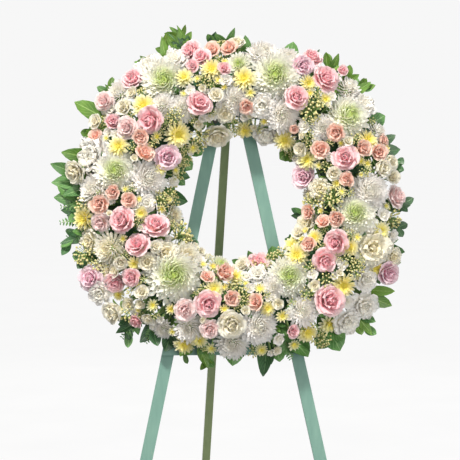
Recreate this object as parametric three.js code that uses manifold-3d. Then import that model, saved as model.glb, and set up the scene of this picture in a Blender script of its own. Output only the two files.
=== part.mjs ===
// A funeral wreath: a foam ring in a moulded tray, planted all over with roses, chrysanthemums, frilled
// white flowers, bud sprays and leaves, hung on a green wooden tripod easel whose rear leg folds.
// Millimetres, +Z up, seen from the front along +Y. The front of the easel and the wreath are built in the
// leaning plane of the front legs: x to the right, y up the plane, z out of it towards the mourner.
import * as THREE from "three";
import { mergeVertices } from "three/addons/utils/BufferGeometryUtils.js";
import Module from "manifold-3d";

const wasm = await Module();
wasm.setup();

// Driving dimensions
const TOUCH = 0.3; // clearance between pieces that rest on each other
const EASEL_HEIGHT = 1220; // a 48 inch florist's easel
const LEAN = THREE.MathUtils.degToRad(9); // the front legs lean back
const REAR_SPLAY = THREE.MathUtils.degToRad(17); // the rear leg, back from the vertical
const REAR_SKEW = THREE.MathUtils.degToRad(2.8); // the rear leg hangs a little askew
const EASEL_SHIFT = -16; // the ring hangs off the easel's axis
const APEX = 279; // where the front legs' centre lines meet, above the ring's centre
const LATHS_TOP = 285;
const SPREAD = 0.2107; // sideways travel of a front leg for each unit down the plane
const LATH = { width: 22, thick: 12 };
const REAR_LATH = { width: 15, deep: 24 };
const TRAY = { inner: 155, outer: 245, floor: 2.4, rim: 9 };
const RING_SEGMENTS = 24;
const FOAM_TOP = 46;
const FOAM_SHOULDER = 26;
const FOAM_BEVEL = 18;
const FLOWERS = { ring: 200, back: 25, out: 76, forward: 62 }; // the surface on which the heads sit
const STEEPEST = 0.97; // the sine of the most that a head tilts across the ring
const SUNK = 0.06; // the share of its diameter by which a head sits deeper
const HEADS_START = 20.5; // no head reaches further back than this
const LEAVES_AT = 17; // the layer of leaves behind the heads
const BAR = { top: -TRAY.outer - TOUCH, tall: 36, thick: 12 };
const BOARD = { top: 278, bottom: 176, thick: 12, inset: 1, screwUp: 14 };
const NAIL = { shank: 2, head: 3.8, deep: 9, proud: 15 };
const SCREW = { shank: 1.8, head: 3.8, long: 21 };
const HEAD_THICK = 2; // of a screw or nail
const SHANK_SIDES = 6;
const PIVOT = { up: 226, behind: 20.4, bolt: 3, heel: 34 };
const BRACKET = { plate: 2, tall: 44, slack: 0.5, reach: 30, screwUp: -8 };
const NUT = { reach: 5.8, thick: 5 };
const BOLT_HEAD_THICK = 3;
const BOLT_SIDES = 12;
const STEM_R = 1.8;
const HOLE_R = 2.6;
const BRANCH_R = 1.3;
const BRANCH_STEP = 26;
const BRANCHES = { out: 44, forward: 28 }; // the lowest level of branches, over the foam
const ROOTS = { out: 26, forward: 10 }; // the depth to which stems go into the foam
const CLEAR = 0.5; // round a branch
const STRAIGHT_DEPTHS = [0.1, 0.25, 0.4, 0, 0.5, 0.18]; // where a branch leaves its heads, in radii
const KEPT = 0.6; // the share of its radius that a head keeps beside a bigger one
const NARROWEST = 0.12;
const HEAD_GAP = 0.2; // each head stops this far from the plane between it and its neighbour
const OPENED = 1.3; // the heads spread past their measured width where they have room
const NEIGHBOUR_GAP = 2; // heads further apart than this don't shape each other
const HOLE_SPARE = 0.03; // how far a hole goes past its stem's foot, as a share of its length
const LEAF = { thick: 0.8, rows: [[0.3, 0.46], [0.66, 0.44]], risesFrom: 0.66 };
const SPRIG = { aside: 4.5, step: 14, peg: 22 }; // off the tray's edge, degrees to a bend, depth in the foam
const LEG_SPARE = 40; // a leg's blank reaches this far below the floor
const BLANK_SHARE = 1.3; // the rear leg's blank, in heights of the easel
const SHANK_SPARE = 0.5; // a screw's hole is this much wider all round
const NO_OVERLAP = 1e-9;
const SEED = 11;

const LEAF_GREEN = { color: 0x3f7a33, roughness: 0.45 };
const COLOURS = {
  teal: { color: 0x4f8278, roughness: 0.6 },
  olive: { color: 0x66764c, roughness: 0.65 },
  steel: { color: 0xb9bcb8, roughness: 0.35, metalness: 0.9 },
  tray: { color: 0x24442b, roughness: 0.5 },
  foam: { color: 0x2f5a35, roughness: 0.95 },
  pink: { color: 0xf0a9b4, roughness: 0.6 },
  white: { color: 0xf6f4e8, roughness: 0.6 },
  yellow: { color: 0xf1dc6a, roughness: 0.6 },
  leaf: LEAF_GREEN,
};

// The planting: [kind, right, up, diameter] of each flower head, from the ring's centre
const PINK_HEADS = [
  ["rose", -90, 270, 42], ["rose", -70, 250, 36], ["spray", -50, 266, 32], ["spray", -20, 268, 32],
  ["spray", -87, 232, 25], ["spray", -31, 227, 26], ["rose", -194, 218, 44], ["rose", -247, 178, 38],
  ["rose", -77, 167, 46], ["spray", 8, 164, 28], ["rose", -164, 135, 50], ["rose", -203, 122, 42],
  ["spray", -228, 134, 30], ["spray", -182, 106, 30], ["spray", -175, 77, 34], ["rose", -137, 72, 46],
  ["spray", -262, 113, 27], ["spray", -229, 7, 27], ["spray", -252, -12, 36], ["rose", -250, -45, 38],
  ["rose", -213, -43, 48], ["spray", -203, -7, 29], ["rose", -157, -52, 50], ["rose", -187, -86, 46],
  ["rose", -272, -142, 46], ["rose", -224, -148, 40], ["rose", -197, -142, 34], ["spray", -191, -220, 26],
  ["rose", -63, -192, 48], ["rose", -104, -201, 40], ["spray", -23, -184, 30], ["spray", 22, -190, 32],
  ["spray", -66, -147, 26], ["spray", -36, -141, 34], ["rose", -60, -234, 36], ["rose", 27, -106, 44],
  ["spray", 86, -238, 26], ["rose", 151, -185, 58], ["rose", 146, -117, 44], ["rose", 166, -84, 46],
  ["spray", 121, -88, 28], ["spray", 126, -27, 30], ["spray", 169, -41, 30], ["spray", 148, -48, 27],
  ["rose", 119, 41, 46], ["spray", 187, 29, 28], ["rose", 274, 2, 46], ["rose", 264, -137, 42],
  ["spray", 168, 113, 33], ["spray", 142, 85, 34], ["rose", 184, 68, 48], ["spray", 213, 84, 32],
  ["spray", 243, 78, 33], ["spray", 257, 104, 26], ["rose", 132, 258, 38], ["rose", 110, 234, 40],
  ["rose", 151, 212, 54], ["spray", 187, 234, 22], ["rose", 97, 176, 46], ["spray", 96, 124, 18],
];
const WHITE_HEADS = [
  ["large_mum", -139, 212, 82], ["large_mum", 61, 220, 84], ["large_mum", 193, 146, 80],
  ["large_mum", 202, -32, 74], ["large_mum", 81, -142, 72], ["large_mum", -124, -139, 104],
  ["large_mum", -227, 47, 74], ["large_mum", 41, 263, 66], ["large_mum", -166, 32, 70],
  ["large_mum", 229, 9, 66], ["large_mum", 27, -232, 66], ["frill", -268, 77, 76],
  ["frill", -119, 254, 46], ["frill", -166, 241, 50], ["mum", -221, 193, 48], ["mum", -104, 160, 44],
  ["mum", -142, 166, 40], ["mum", -13, 175, 46], ["mum", -4, 239, 42], ["mum", 85, 256, 44],
  ["mum", 72, 146, 56], ["frill", 36, 164, 46], ["frill", 43, 108, 42], ["mum", 144, 123, 42],
  ["mum", 198, 202, 46], ["frill", 224, 170, 46], ["mum", 250, 122, 36], ["mum", -265, 14, 56],
  ["frill", 140, 16, 36], ["mum", 99, 5, 30], ["frill", 104, -40, 38], ["frill", 232, -92, 60],
  ["frill", 221, -148, 44], ["frill", 220, -194, 48], ["frill", 189, -223, 46], ["frill", 274, -106, 34],
  ["mum", 106, -205, 50], ["mum", 54, -160, 40], ["mum", -20, -262, 56], ["mum", -97, -234, 48],
  ["frill", -139, -99, 44], ["mum", -101, -103, 46], ["frill", -256, -169, 40], ["frill", -274, -76, 38],
  ["mum", -238, -92, 54], ["spray", -229, -202, 42], ["frill", -171, -12, 28], ["mum", -121, -29, 40],
  ["mum", -36, -108, 44], ["mum", -144, -236, 32], ["rose", -300, 50, 46], ["rose", -45, 119, 50],
  ["spray", -5, 284, 34], ["rose", -22, -227, 50], ["spray", 248, 50, 36], ["spray", 270, 66, 30],
  ["spray", 273, 38, 28], ["spray", 165, 41, 26], ["spray", 108, 90, 27], ["spray", -47, 182, 26],
  ["spray", -207, 160, 32], ["frill", -234, 161, 34], ["spray", -193, 187, 24], ["spray", -216, -115, 26],
  ["frill", -171, -117, 32], ["spray", -158, -92, 24], ["spray", -178, -168, 26], ["spray", -200, -186, 26],
  ["spray", -167, -211, 22], ["frill", 27, -138, 34], ["spray", 2, -122, 30], ["frill", -30, 151, 34],
  ["spray", 110, 112, 16], ["spray", -262, 141, 28], ["spray", 101, -62, 26],
];
const YELLOW_HEADS = [
  ["daisy", -54, 229, 40], ["daisy", 4, 211, 42], ["daisy", -103, 214, 36], ["daisy", -176, 164, 40],
  ["daisy", -115, 112, 48], ["daisy", -221, 90, 38], ["daisy", 7, 126, 32], ["daisy", 79, 106, 40],
  ["daisy", 119, 204, 32], ["daisy", 227, 102, 40], ["daisy", 119, 68, 38], ["daisy", -284, -36, 44],
  ["daisy", 130, -74, 28], ["daisy", 88, -80, 36], ["daisy", 97, -106, 40], ["daisy", 190, -92, 32],
  ["daisy", 179, -160, 44], ["daisy", 248, -61, 36], ["daisy", 115, -241, 38], ["daisy", 157, -227, 38],
  ["daisy", -105, -262, 38], ["daisy", -78, -254, 28], ["daisy", -13, -144, 28], ["daisy", -53, -166, 34],
  ["daisy", -222, -172, 24], ["daisy", -193, -119, 26], ["daisy", -182, -30, 24], ["daisy", 42, -201, 26],
  ["daisy", -148, 50, 24], ["daisy", 240, -126, 34], ["daisy", 34, -272, 24], ["daisy", -247, -146, 24],
  ["buds", -122, 145, 24], ["buds", -245, 140, 22], ["buds", -284, -12, 28], ["buds", -112, -66, 36],
  ["buds", -148, -5, 26], ["buds", -284, -103, 30], ["buds", 0, -186, 24], ["buds", 142, -258, 26],
  ["buds", 160, -4, 34], ["buds", 116, -5, 24], ["buds", 274, -38, 30], ["buds", 124, 155, 34],
  ["buds", -36, 280, 20], ["buds", -76, 115, 26], ["buds", 200, -131, 26], ["buds", 52, -103, 26],
];
// The leaves: [degrees clockwise from the top, reach from the ring's centre, width, turn, rise at the tip]
const OUTER_LEAVES = [
  [-31, 318, 20, -14, 6], [-27, 326, 18, 6, 12], [-23, 330, 20, 14, 8], [-17, 312, 20, -18, 4],
  [-12, 310, 20, 16, 10], [-5, 312, 18, 10, 16], [3, 300, 18, -8, 6], [21, 304, 30, -10, 6],
  [26, 310, 16, 12, 4], [35, 318, 20, -8, 14], [39, 316, 20, 18, 10], [46, 318, 18, 8, 12],
  [59, 304, 36, 4, 2], [70, 306, 26, 12, -6], [80, 300, 20, -14, 8], [90, 308, 22, 10, -4],
  [97, 304, 22, 22, -8], [107, 310, 26, 4, 0], [115, 316, 26, 12, -6], [128, 330, 26, -10, 4],
  [134, 336, 24, 10, 12], [146, 322, 46, 6, 10], [160, 306, 40, -6, 16], [164, 300, 30, 16, 6],
  [171, 318, 32, 6, 10], [183, 298, 36, 4, 4], [194, 308, 20, -10, 12], [199, 302, 22, 12, 6],
  [209, 304, 30, -8, 8], [214, 312, 30, 8, 4], [221, 326, 22, 4, 14], [236, 300, 22, 6, 4],
  [252, 316, 22, -12, 4], [258, 330, 22, -4, 10], [264, 322, 24, 12, 2], [271, 332, 32, 0, 6],
  [277, 338, 34, -6, 2], [284, 330, 32, 6, 8], [294, 304, 24, 4, 4], [302, 344, 32, -4, 2],
  [307, 322, 20, 16, 0], [318, 302, 24, 4, 0],
];
const INNER_LEAVES = [
  [46, 104, 34, 4, 0], [62, 116, 24, -10, 4], [98, 92, 16, -14, 6], [112, 108, 20, 10, 2],
  [128, 106, 24, -8, 4], [152, 100, 26, 10, 8], [172, 94, 22, -6, 12], [232, 108, 24, 8, 4],
  [248, 112, 22, -8, 2], [272, 96, 30, 6, 0], [290, 100, 26, -10, -4], [306, 104, 28, 8, -4],
  [318, 108, 30, -4, 2],
];
// The degrees from which and to which each leafy stem runs
const OUTER_SPRIGS = [[-34, 28], [32, 100], [104, 150], [156, 224], [232, 322]];
const INNER_SPRIGS = [[42, 86], [88, 132], [134, 176], [228, 274], [276, 322]];
const SECTOR_START = 0.03; // how far before the top the first stretch begins, in turns
const PINK_NODES = 13;
const WHITE_NODES = 12;
const YELLOW_NODES = 8;

// A repeatable random draw from -1 to 1
let drawState = SEED;
function draw() {
  drawState = (drawState * 1664525 + 1013904223) % 4294967296;
  return (drawState / 4294967296) * 2 - 1;
}

// A closed three.js geometry as a manifold solid, and back
function solid(geometry) {
  const bare = geometry.index ? geometry.toNonIndexed() : geometry.clone();
  bare.deleteAttribute("normal");
  bare.deleteAttribute("uv");
  const merged = mergeVertices(bare, 1e-3);
  return new wasm.Manifold(
    new wasm.Mesh({
      numProp: 3,
      vertProperties: merged.attributes.position.array,
      triVerts: new Uint32Array(merged.index.array),
    }),
  );
}

function geometryOf(body) {
  const mesh = body.getMesh();
  const geometry = new THREE.BufferGeometry();
  geometry.setAttribute("position", new THREE.BufferAttribute(mesh.vertProperties, 3));
  geometry.setIndex(new THREE.BufferAttribute(mesh.triVerts, 1));
  return geometry;
}

function joined(bodies) {
  return bodies.reduce((sum, body) => sum.add(body));
}

// The largest piece of a solid that cutting may have parted
function largest(body) {
  return body.decompose().reduce((best, piece) => (piece.volume() > best.volume() ? piece : best));
}

function node(name, geometry, material) {
  const mesh = new THREE.Mesh(geometry, new THREE.MeshStandardMaterial(material));
  mesh.name = name;
  return mesh;
}

// Plain shapes
function plate(outline, from, to) {
  const shape = new THREE.Shape(outline.map(([x, y]) => new THREE.Vector2(x, y)));
  return new THREE.ExtrudeGeometry(shape, { depth: to - from, bevelEnabled: false }).translate(0, 0, from);
}

// A cylinder along z with its middle at x, y
function rod(radius, x, y, from, to, sides = 8) {
  return new THREE.CylinderGeometry(radius, radius, to - from, sides)
    .rotateX(Math.PI / 2)
    .translate(x, y, (from + to) / 2);
}

// A closed profile of [radius, depth] swept round the ring's middle
function ringSolid(profile, segments) {
  const points = [profile[0], ...profile.toReversed()].map(([r, z]) => new THREE.Vector2(r, z));
  return solid(new THREE.LatheGeometry(points, segments).rotateX(Math.PI / 2));
}

// A closed skin over rings of points, from a first pole to a last one
function skin(first, rings, last) {
  const sides = rings[0].length;
  const points = [first, ...rings.flat(), last];
  const at = (k, i) => 1 + k * sides + (i % sides);
  const faces = [];
  for (let i = 0; i < sides; i += 1) {
    faces.push(0, at(0, i + 1), at(0, i));
    for (let k = 0; k + 1 < rings.length; k += 1) {
      faces.push(at(k, i), at(k, i + 1), at(k + 1, i + 1));
      faces.push(at(k, i), at(k + 1, i + 1), at(k + 1, i));
    }
    faces.push(at(rings.length - 1, i), at(rings.length - 1, i + 1), points.length - 1);
  }
  const geometry = new THREE.BufferGeometry().setFromPoints(points);
  geometry.setIndex(faces);
  return solid(geometry);
}

// A three- or four-sided tube along a chain of points
function tube(points, radius, sides = 3) {
  const along = points.map((p, k) => {
    const before = points[Math.max(k - 1, 0)];
    const after = points[Math.min(k + 1, points.length - 1)];
    return after.clone().sub(before).normalize();
  });
  const side = new THREE.Vector3(0.37, 0.52, 0.77).cross(along[0]).normalize();
  const rings = points.map((p, k) => {
    side.addScaledVector(along[k], -side.dot(along[k])).normalize();
    const up = along[k].clone().cross(side);
    return Array.from({ length: sides }, (_, i) => {
      const turn = (2 * Math.PI * i) / sides;
      return p
        .clone()
        .addScaledVector(side, radius * Math.cos(turn))
        .addScaledVector(up, radius * Math.sin(turn));
    });
  });
  return skin(points[0], rings, points[points.length - 1]);
}

// Flower heads, each a closed skin round its own +z axis. A ring of it is [radius, height, radius of every
// second point, height of every second point], in radii of the head, and a petal is a point that stands out.
const HEADS = {
  rose: {
    sides: 8,
    foot: -0.62,
    rings: [[1, -0.02, 0.8, -0.12], [0.66, 0.1, 0.88, 0.32], [0.52, 0.5, 0.42, 0.3], [0.2, 0.34, 0.24, 0.52]],
    crown: 0.36,
  },
  spray: {
    sides: 6,
    foot: -0.6,
    rings: [[1, 0.2, 0.8, 0], [0.6, 0.24, 0.74, 0.46]],
    crown: 0.4,
  },
  large_mum: {
    sides: 16,
    foot: -0.3,
    rings: [[1, -0.1, 0.7, -0.14], [0.66, 0.12, 0.9, 0.18], [0.62, 0.46, 0.42, 0.34]],
    crown: 0.36,
  },
  mum: {
    sides: 12,
    foot: -0.36,
    rings: [[1, -0.04, 0.7, -0.08], [0.6, 0.2, 0.84, 0.36]],
    crown: 0.42,
  },
  frill: {
    sides: 10,
    foot: -0.36,
    rings: [[1, 0.1, 0.84, -0.04], [0.56, 0.2, 0.72, 0.42]],
    crown: 0.2,
  },
  daisy: {
    sides: 10,
    foot: -0.4,
    rings: [[1, 0.06, 0.62, -0.04], [0.36, 0.14, 0.4, 0.14]],
    crown: 0.3,
  },
  buds: {
    sides: 6,
    foot: -0.5,
    rings: [[0.62, -0.2, 1, -0.06], [0.9, 0.3, 0.6, 0.3]],
    crown: 0.62,
  },
};

// The planes that keep a head off its neighbours: [inward normal, distance], each along both heads' axes
const Z = new THREE.Vector3(0, 0, 1);
function bounds(head, everyHead) {
  const planes = [[Z, HEADS_START]];
  for (const other of everyHead) {
    const apart = head.place.clone().sub(other.place);
    if (other === head || apart.length() > head.radius + other.radius + NEIGHBOUR_GAP) continue;
    const middle = head.facing.clone().add(other.facing).normalize();
    apart.addScaledVector(middle, -apart.dot(middle));
    const far = apart.length();
    const [own, its] = [head.radius, other.radius];
    const least = Math.min((KEPT * own) / far, own / (own + its));
    const most = 1 - Math.min((KEPT * its) / far, its / (own + its));
    const even = 0.5 + (own ** 2 - its ** 2) / (2 * far ** 2);
    const inward = apart.normalize();
    planes.push([inward, head.place.dot(inward) - far * THREE.MathUtils.clamp(even, least, most) + HEAD_GAP]);
  }
  return planes;
}

// A head in its place, each of its sides drawn in until it is clear of the neighbours
function headSolid(head, everyHead) {
  const { sides, foot, rings, crown } = HEADS[head.kind];
  const planes = bounds(head, everyHead);
  const right = new THREE.Vector3(0.31, 0.18, 0.93).cross(head.facing).normalize();
  const onAxis = (height) => head.place.clone().addScaledVector(head.facing, height * head.radius);
  const made = rings.map(() => []);
  for (let i = 0; i < sides; i += 1) {
    const side = right.clone().applyAxisAngle(head.facing, head.spin + (2 * Math.PI * i) / sides);
    const profile = rings.map(([r, z, otherR, otherZ]) => (i % 2 ? [otherR, otherZ] : [r, z]));
    let drawnIn = 1;
    for (const [reach, height] of profile) {
      for (const [inward, distance] of planes) {
        const towards = -side.dot(inward) * reach * head.radius;
        const room = onAxis(height).dot(inward) - distance;
        if (towards > 0) drawnIn = Math.min(drawnIn, room / towards);
      }
    }
    drawnIn = Math.max(drawnIn, NARROWEST);
    profile.forEach(([reach, height], k) => {
      made[k].push(onAxis(height).addScaledVector(side, reach * head.radius * drawnIn));
    });
  }
  return skin(onAxis(foot), made, onAxis(crown));
}

// A point of the ring's cross-section, at an angle round the ring and a tilt across it, on an ellipse
// whose half-axes are out and forward, and the outward normal there
function onRing(angle, tilt, out, forward) {
  const radial = new THREE.Vector3(Math.sin(angle), Math.cos(angle), 0);
  return radial
    .multiplyScalar(FLOWERS.ring + out * Math.sin(tilt))
    .add(new THREE.Vector3(0, 0, FLOWERS.back + forward * Math.cos(tilt)));
}

function normalOn(angle, tilt) {
  const across = FLOWERS.forward * Math.sin(tilt);
  return new THREE.Vector3(
    across * Math.sin(angle),
    across * Math.cos(angle),
    FLOWERS.out * Math.cos(tilt),
  ).normalize();
}

// Turns a line of the planting into a head with its place, facing and size. A head at the rim stands as far
// out as it was measured.
const LIFT = { rose: 6, spray: 5, large_mum: 0, mum: 1, frill: 1, daisy: 1, buds: 3 };
function planted([kind, right, up, diameter]) {
  const angle = Math.atan2(right, up);
  const far = Math.hypot(right, up);
  const across = THREE.MathUtils.clamp((far - FLOWERS.ring) / FLOWERS.out, -STEEPEST, STEEPEST);
  const tilt = Math.asin(across);
  const lift = LIFT[kind] - diameter * SUNK;
  const place = onRing(angle, tilt, FLOWERS.out + lift, FLOWERS.forward + lift);
  const stretch = tilt > 0 ? Math.max(far / Math.hypot(place.x, place.y), 1) : 1;
  place.multiply(new THREE.Vector3(stretch, stretch, 1));
  const facing = normalOn(angle, tilt);
  const root = onRing(angle, tilt, ROOTS.out, ROOTS.forward);
  return { kind, angle, tilt, place, facing, root, radius: (diameter / 2) * OPENED, spin: draw() * Math.PI };
}

// Parts a list of heads into nodes, each a stretch of the ring
function sectors(heads, count, name) {
  const nodes = Array.from({ length: count }, (_, i) => ({
    name: `${name}_${String(i + 1).padStart(2, "0")}`,
    heads: [],
  }));
  heads.forEach((head) => {
    const turn = ((head.angle / (2 * Math.PI)) % 1) + 1;
    nodes[Math.floor(((turn + SECTOR_START) % 1) * count)].heads.push(head);
  });
  nodes.forEach((each) => each.heads.forEach((head) => Object.assign(head, { owner: each.name })));
  return nodes;
}

// What already stands on the ring, so that stems and branches go clear of it
const standing = [];
function bodyBox(body) {
  const { min, max } = body.boundingBox();
  return new THREE.Box3(new THREE.Vector3(...min), new THREE.Vector3(...max));
}

function stand(owner, body) {
  standing.push({ owner, body, box: bodyBox(body) });
}

function isClear(body, owner) {
  const box = bodyBox(body);
  const others = standing.filter((one) => one.owner !== owner && one.box.intersectsBox(box));
  return others.every((one) => body.intersect(one.body).volume() < NO_OVERLAP);
}

// A branch from one head to another: straight if nothing is in the way, or else below the heads and bent
const BOWS = [0, 7, -7, 13, -13, 19, -19, 26, -26, 33, -33, 40, -40, 50, -50, 60, -60];
const DEEPER = [0, -2, 4, 8, 12, 2, 6, 16, 20];
function branchPaths(a, b, level) {
  const turn = THREE.MathUtils.euclideanModulo(b.angle - a.angle + Math.PI, 2 * Math.PI) - Math.PI;
  const along = turn * FLOWERS.ring;
  const across = (b.tilt - a.tilt) * level.out;
  const span = Math.hypot(along, across);
  const steps = Math.max(1, Math.ceil(span / BRANCH_STEP));
  const bent = (bow, deep) => {
    const chain = Array.from({ length: steps + 1 }, (_, i) => {
      const t = i / steps;
      const aside = (bow * Math.sin(Math.PI * t)) / span;
      const angle = a.angle + turn * t - (aside * across) / FLOWERS.ring;
      const tilt = a.tilt + (b.tilt - a.tilt) * t + (aside * along) / level.out;
      return onRing(angle, tilt, level.out + deep, level.forward + deep);
    });
    return [inHead(a), ...chain, inHead(b)];
  };
  const straight = STRAIGHT_DEPTHS.map((depth) => [inHead(a, depth), inHead(b, depth)]);
  return [...straight, ...DEEPER.flatMap((deep) => BOWS.map((bow) => bent(bow, deep)))];
}

function branch(a, b, level) {
  for (const path of branchPaths(a, b, level)) {
    const room = tube(path, BRANCH_R + CLEAR);
    if (isClear(room, a.owner)) {
      stand(a.owner, room);
      return tube(path, BRANCH_R);
    }
  }
  throw new Error(`no clear way for a branch of ${a.owner}`);
}

function inHead(head, depth = 0.12) {
  return head.place.clone().addScaledVector(head.facing, -depth * head.radius);
}

// The pairs of heads that a node's branches join: each head to the nearest one that is joined already
function pairs(heads) {
  const reached = [heads[0]];
  const found = [];
  while (reached.length < heads.length) {
    const open = heads.filter((head) => !reached.includes(head));
    const choices = open.flatMap((b) => reached.map((a) => ({ a, b, far: a.place.distanceTo(b.place) })));
    const next = choices.reduce((best, one) => (one.far < best.far ? one : best));
    found.push(next);
    reached.push(next.b);
  }
  return found;
}

// A node's stem goes down into the foam from the first of its heads whose way is clear
function stemFor({ name, heads }) {
  for (const head of heads) {
    const hole = tube([inHead(head), head.root.clone().lerp(head.place, -HOLE_SPARE)], HOLE_R);
    if (isClear(hole, name)) {
      stand(name, hole);
      return { hole, body: tube([inHead(head), head.root], STEM_R) };
    }
  }
  throw new Error(`no clear way for the stem of ${name}`);
}

// A node of heads on one branched stem
function headsNode({ name, heads, stem }, level, colour) {
  let whole = joined([...heads.map((head) => head.body), stem.body]);
  for (const { a, b } of pairs(heads)) {
    whole = whole.add(branch(a, b, level));
  }
  return node(name, geometryOf(largest(whole)), colour);
}

// A leaf of lens section: a base point, three rows of edge, rib and edge, and a tip
function leafShape(length, width, rise) {
  const height = (t) => rise * Math.max(0, (t - LEAF.risesFrom) / (1 - LEAF.risesFrom)) ** 2;
  const made = LEAF.rows.map(([t, half]) => [
    new THREE.Vector3(-width * half, length * t, height(t)),
    new THREE.Vector3(0, length * t, height(t) + LEAF.thick),
    new THREE.Vector3(width * half, length * t, height(t)),
    new THREE.Vector3(0, length * t, height(t) - LEAF.thick),
  ]);
  return skin(new THREE.Vector3(0, 0, 0), made, new THREE.Vector3(0, length, height(1)));
}

// A leafy stem that runs along the foam's edge, with the leaves of its stretch
function sprig(name, [from, to], leaves, edge, holes) {
  const outward = edge > FLOWERS.ring ? 1 : -1;
  const at = (degrees, radius) => {
    const angle = THREE.MathUtils.degToRad(degrees);
    return new THREE.Vector3(radius * Math.sin(angle), radius * Math.cos(angle), LEAVES_AT);
  };
  const steps = Math.ceil((to - from) / SPRIG.step);
  const run = Array.from({ length: steps + 1 }, (_, i) => at(from + ((to - from) * i) / steps, edge));
  let whole = tube(run, STEM_R);
  for (const [degrees, reach, width, turn, rise] of leaves) {
    if (THREE.MathUtils.euclideanModulo(degrees - from, 360) > to - from) continue;
    const angle = THREE.MathUtils.degToRad(-degrees - turn) + (outward < 0 ? Math.PI : 0);
    const leaf = leafShape(Math.abs(reach - edge) + 1, width, rise);
    const base = at(degrees, edge - outward);
    const matrix = new THREE.Matrix4().makeRotationZ(angle).setPosition(base);
    whole = whole.add(leaf.transform(matrix.elements));
  }
  const peg = [at((from + to) / 2, edge), at((from + to) / 2, edge - outward * SPRIG.peg)];
  whole = whole.add(tube(peg, STEM_R));
  holes.push(tube([peg[0], peg[1].clone().lerp(peg[0], -HOLE_SPARE)], HOLE_R));
  return node(name, geometryOf(largest(whole)), COLOURS.leaf);
}

// The leaning plane: its origin is the ring's centre on the front faces of the legs
const plane = new THREE.Group();
const ringHeight = EASEL_HEIGHT - LATHS_TOP * Math.cos(LEAN);
plane.rotation.x = Math.PI / 2 - LEAN;
plane.position.z = ringHeight;
const floorNormal = [0, Math.cos(LEAN), Math.sin(LEAN)]; // up, in the plane's own directions

function legOffset(y) {
  return (APEX - y) * SPREAD;
}

const boardFront = -LATH.thick - TOUCH;
const boardBack = boardFront - BOARD.thick;

// A front leg: a lath cut along the easel's middle at the top and along the floor at the foot
function frontLeg(side, holes) {
  const half = (LATH.width / 2) * Math.hypot(1, SPREAD);
  const low = -ringHeight / Math.cos(LEAN) - LEG_SPARE;
  const middle = TOUCH / 2;
  const mitre = APEX - (half + middle) / SPREAD;
  const outline = [
    [middle, mitre],
    [legOffset(low) - half, low],
    [legOffset(low) + half, low],
    [legOffset(LATHS_TOP) + half, LATHS_TOP],
    [middle, LATHS_TOP],
  ].map(([x, y]) => [EASEL_SHIFT + side * x, y]);
  const ordered = side > 0 ? outline : outline.reverse();
  const lath = solid(plate(ordered, -LATH.thick, 0)).trimByPlane(floorNormal, -ringHeight);
  return holes.reduce((body, hole) => body.subtract(hole), lath);
}

// A screw or nail along z, from the underside of its head to its point, and the hole that its shank needs
function fastener(x, y, headSide, point, { shank, head }) {
  const outward = Math.sign(headSide - point);
  const inHeadDepth = outward * 0.5;
  const cap = [headSide, headSide + outward * HEAD_THICK].sort((p, q) => p - q);
  const pin = [headSide + inHeadDepth, point].sort((p, q) => p - q);
  const bore = [headSide + outward, point - outward * 5 * TOUCH].sort((p, q) => p - q);
  return {
    body: solid(rod(head, x, y, ...cap)).add(solid(rod(shank, x, y, ...pin, SHANK_SIDES))),
    hole: solid(rod(shank + SHANK_SPARE, x, y, ...bore, SHANK_SIDES)),
  };
}

// Where a nail on a front leg's middle holds up the tray's inner edge
function nailPlace(side) {
  const reach = TRAY.inner * Math.cos(Math.PI / RING_SEGMENTS) - NAIL.shank - TOUCH;
  let y = reach;
  for (let i = 0; i < 12; i += 1) {
    y = Math.sqrt(reach ** 2 - (EASEL_SHIFT + side * legOffset(y)) ** 2);
  }
  return [EASEL_SHIFT + side * legOffset(y), y];
}

function buildEasel(easel, bracketScrewHole) {
  const sides = [-1, 1];
  const barMiddle = BAR.top - BAR.tall / 2;
  const barFace = 2 * TOUCH + BAR.thick;
  const nails = sides.map((side) => fastener(...nailPlace(side), NAIL.proud, -NAIL.deep, NAIL));
  const barScrews = sides.map((side) => {
    const x = EASEL_SHIFT + side * legOffset(barMiddle);
    return fastener(x, barMiddle, barFace, barFace - SCREW.long, SCREW);
  });
  const headScrews = sides.map((side) => {
    const y = BOARD.bottom + BOARD.screwUp;
    const x = EASEL_SHIFT + side * legOffset(y);
    return fastener(x, y, boardBack - TOUCH, boardBack - TOUCH + SCREW.long, SCREW);
  });
  const names = ["left", "right"];
  sides.forEach((side, i) => {
    const leg = frontLeg(side, [nails[i].hole, barScrews[i].hole, headScrews[i].hole]);
    easel.add(node(`front_leg_${names[i]}`, geometryOf(leg), COLOURS.teal));
    easel.add(node(`ring_nail_${names[i]}`, geometryOf(nails[i].body), COLOURS.steel));
    easel.add(node(`crossbar_screw_${names[i]}`, geometryOf(barScrews[i].body), COLOURS.steel));
    easel.add(node(`head_screw_${names[i]}`, geometryOf(headScrews[i].body), COLOURS.steel));
  });

  // Boards whose ends follow the outer edges of the two legs
  const board = (top, bottom, back, front, inset, holes) => {
    const end = (y) => legOffset(y) + (LATH.width / 2) * Math.hypot(1, SPREAD) - inset;
    const outline = [
      [EASEL_SHIFT - end(bottom), bottom],
      [EASEL_SHIFT + end(bottom), bottom],
      [EASEL_SHIFT + end(top), top],
      [EASEL_SHIFT - end(top), top],
    ];
    return holes.reduce((body, hole) => body.subtract(hole), solid(plate(outline, back, front)));
  };
  const barHoles = barScrews.map((screw) => screw.hole);
  const bar = board(BAR.top, BAR.top - BAR.tall, TOUCH, TOUCH + BAR.thick, 0, barHoles);
  easel.add(node("crossbar", geometryOf(bar), COLOURS.teal));
  const headHoles = [...headScrews.map((screw) => screw.hole), bracketScrewHole];
  const headBoard = board(BOARD.top, BOARD.bottom, boardBack, boardFront, BOARD.inset, headHoles);
  easel.add(node("head_board", geometryOf(headBoard), COLOURS.teal));
}

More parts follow.
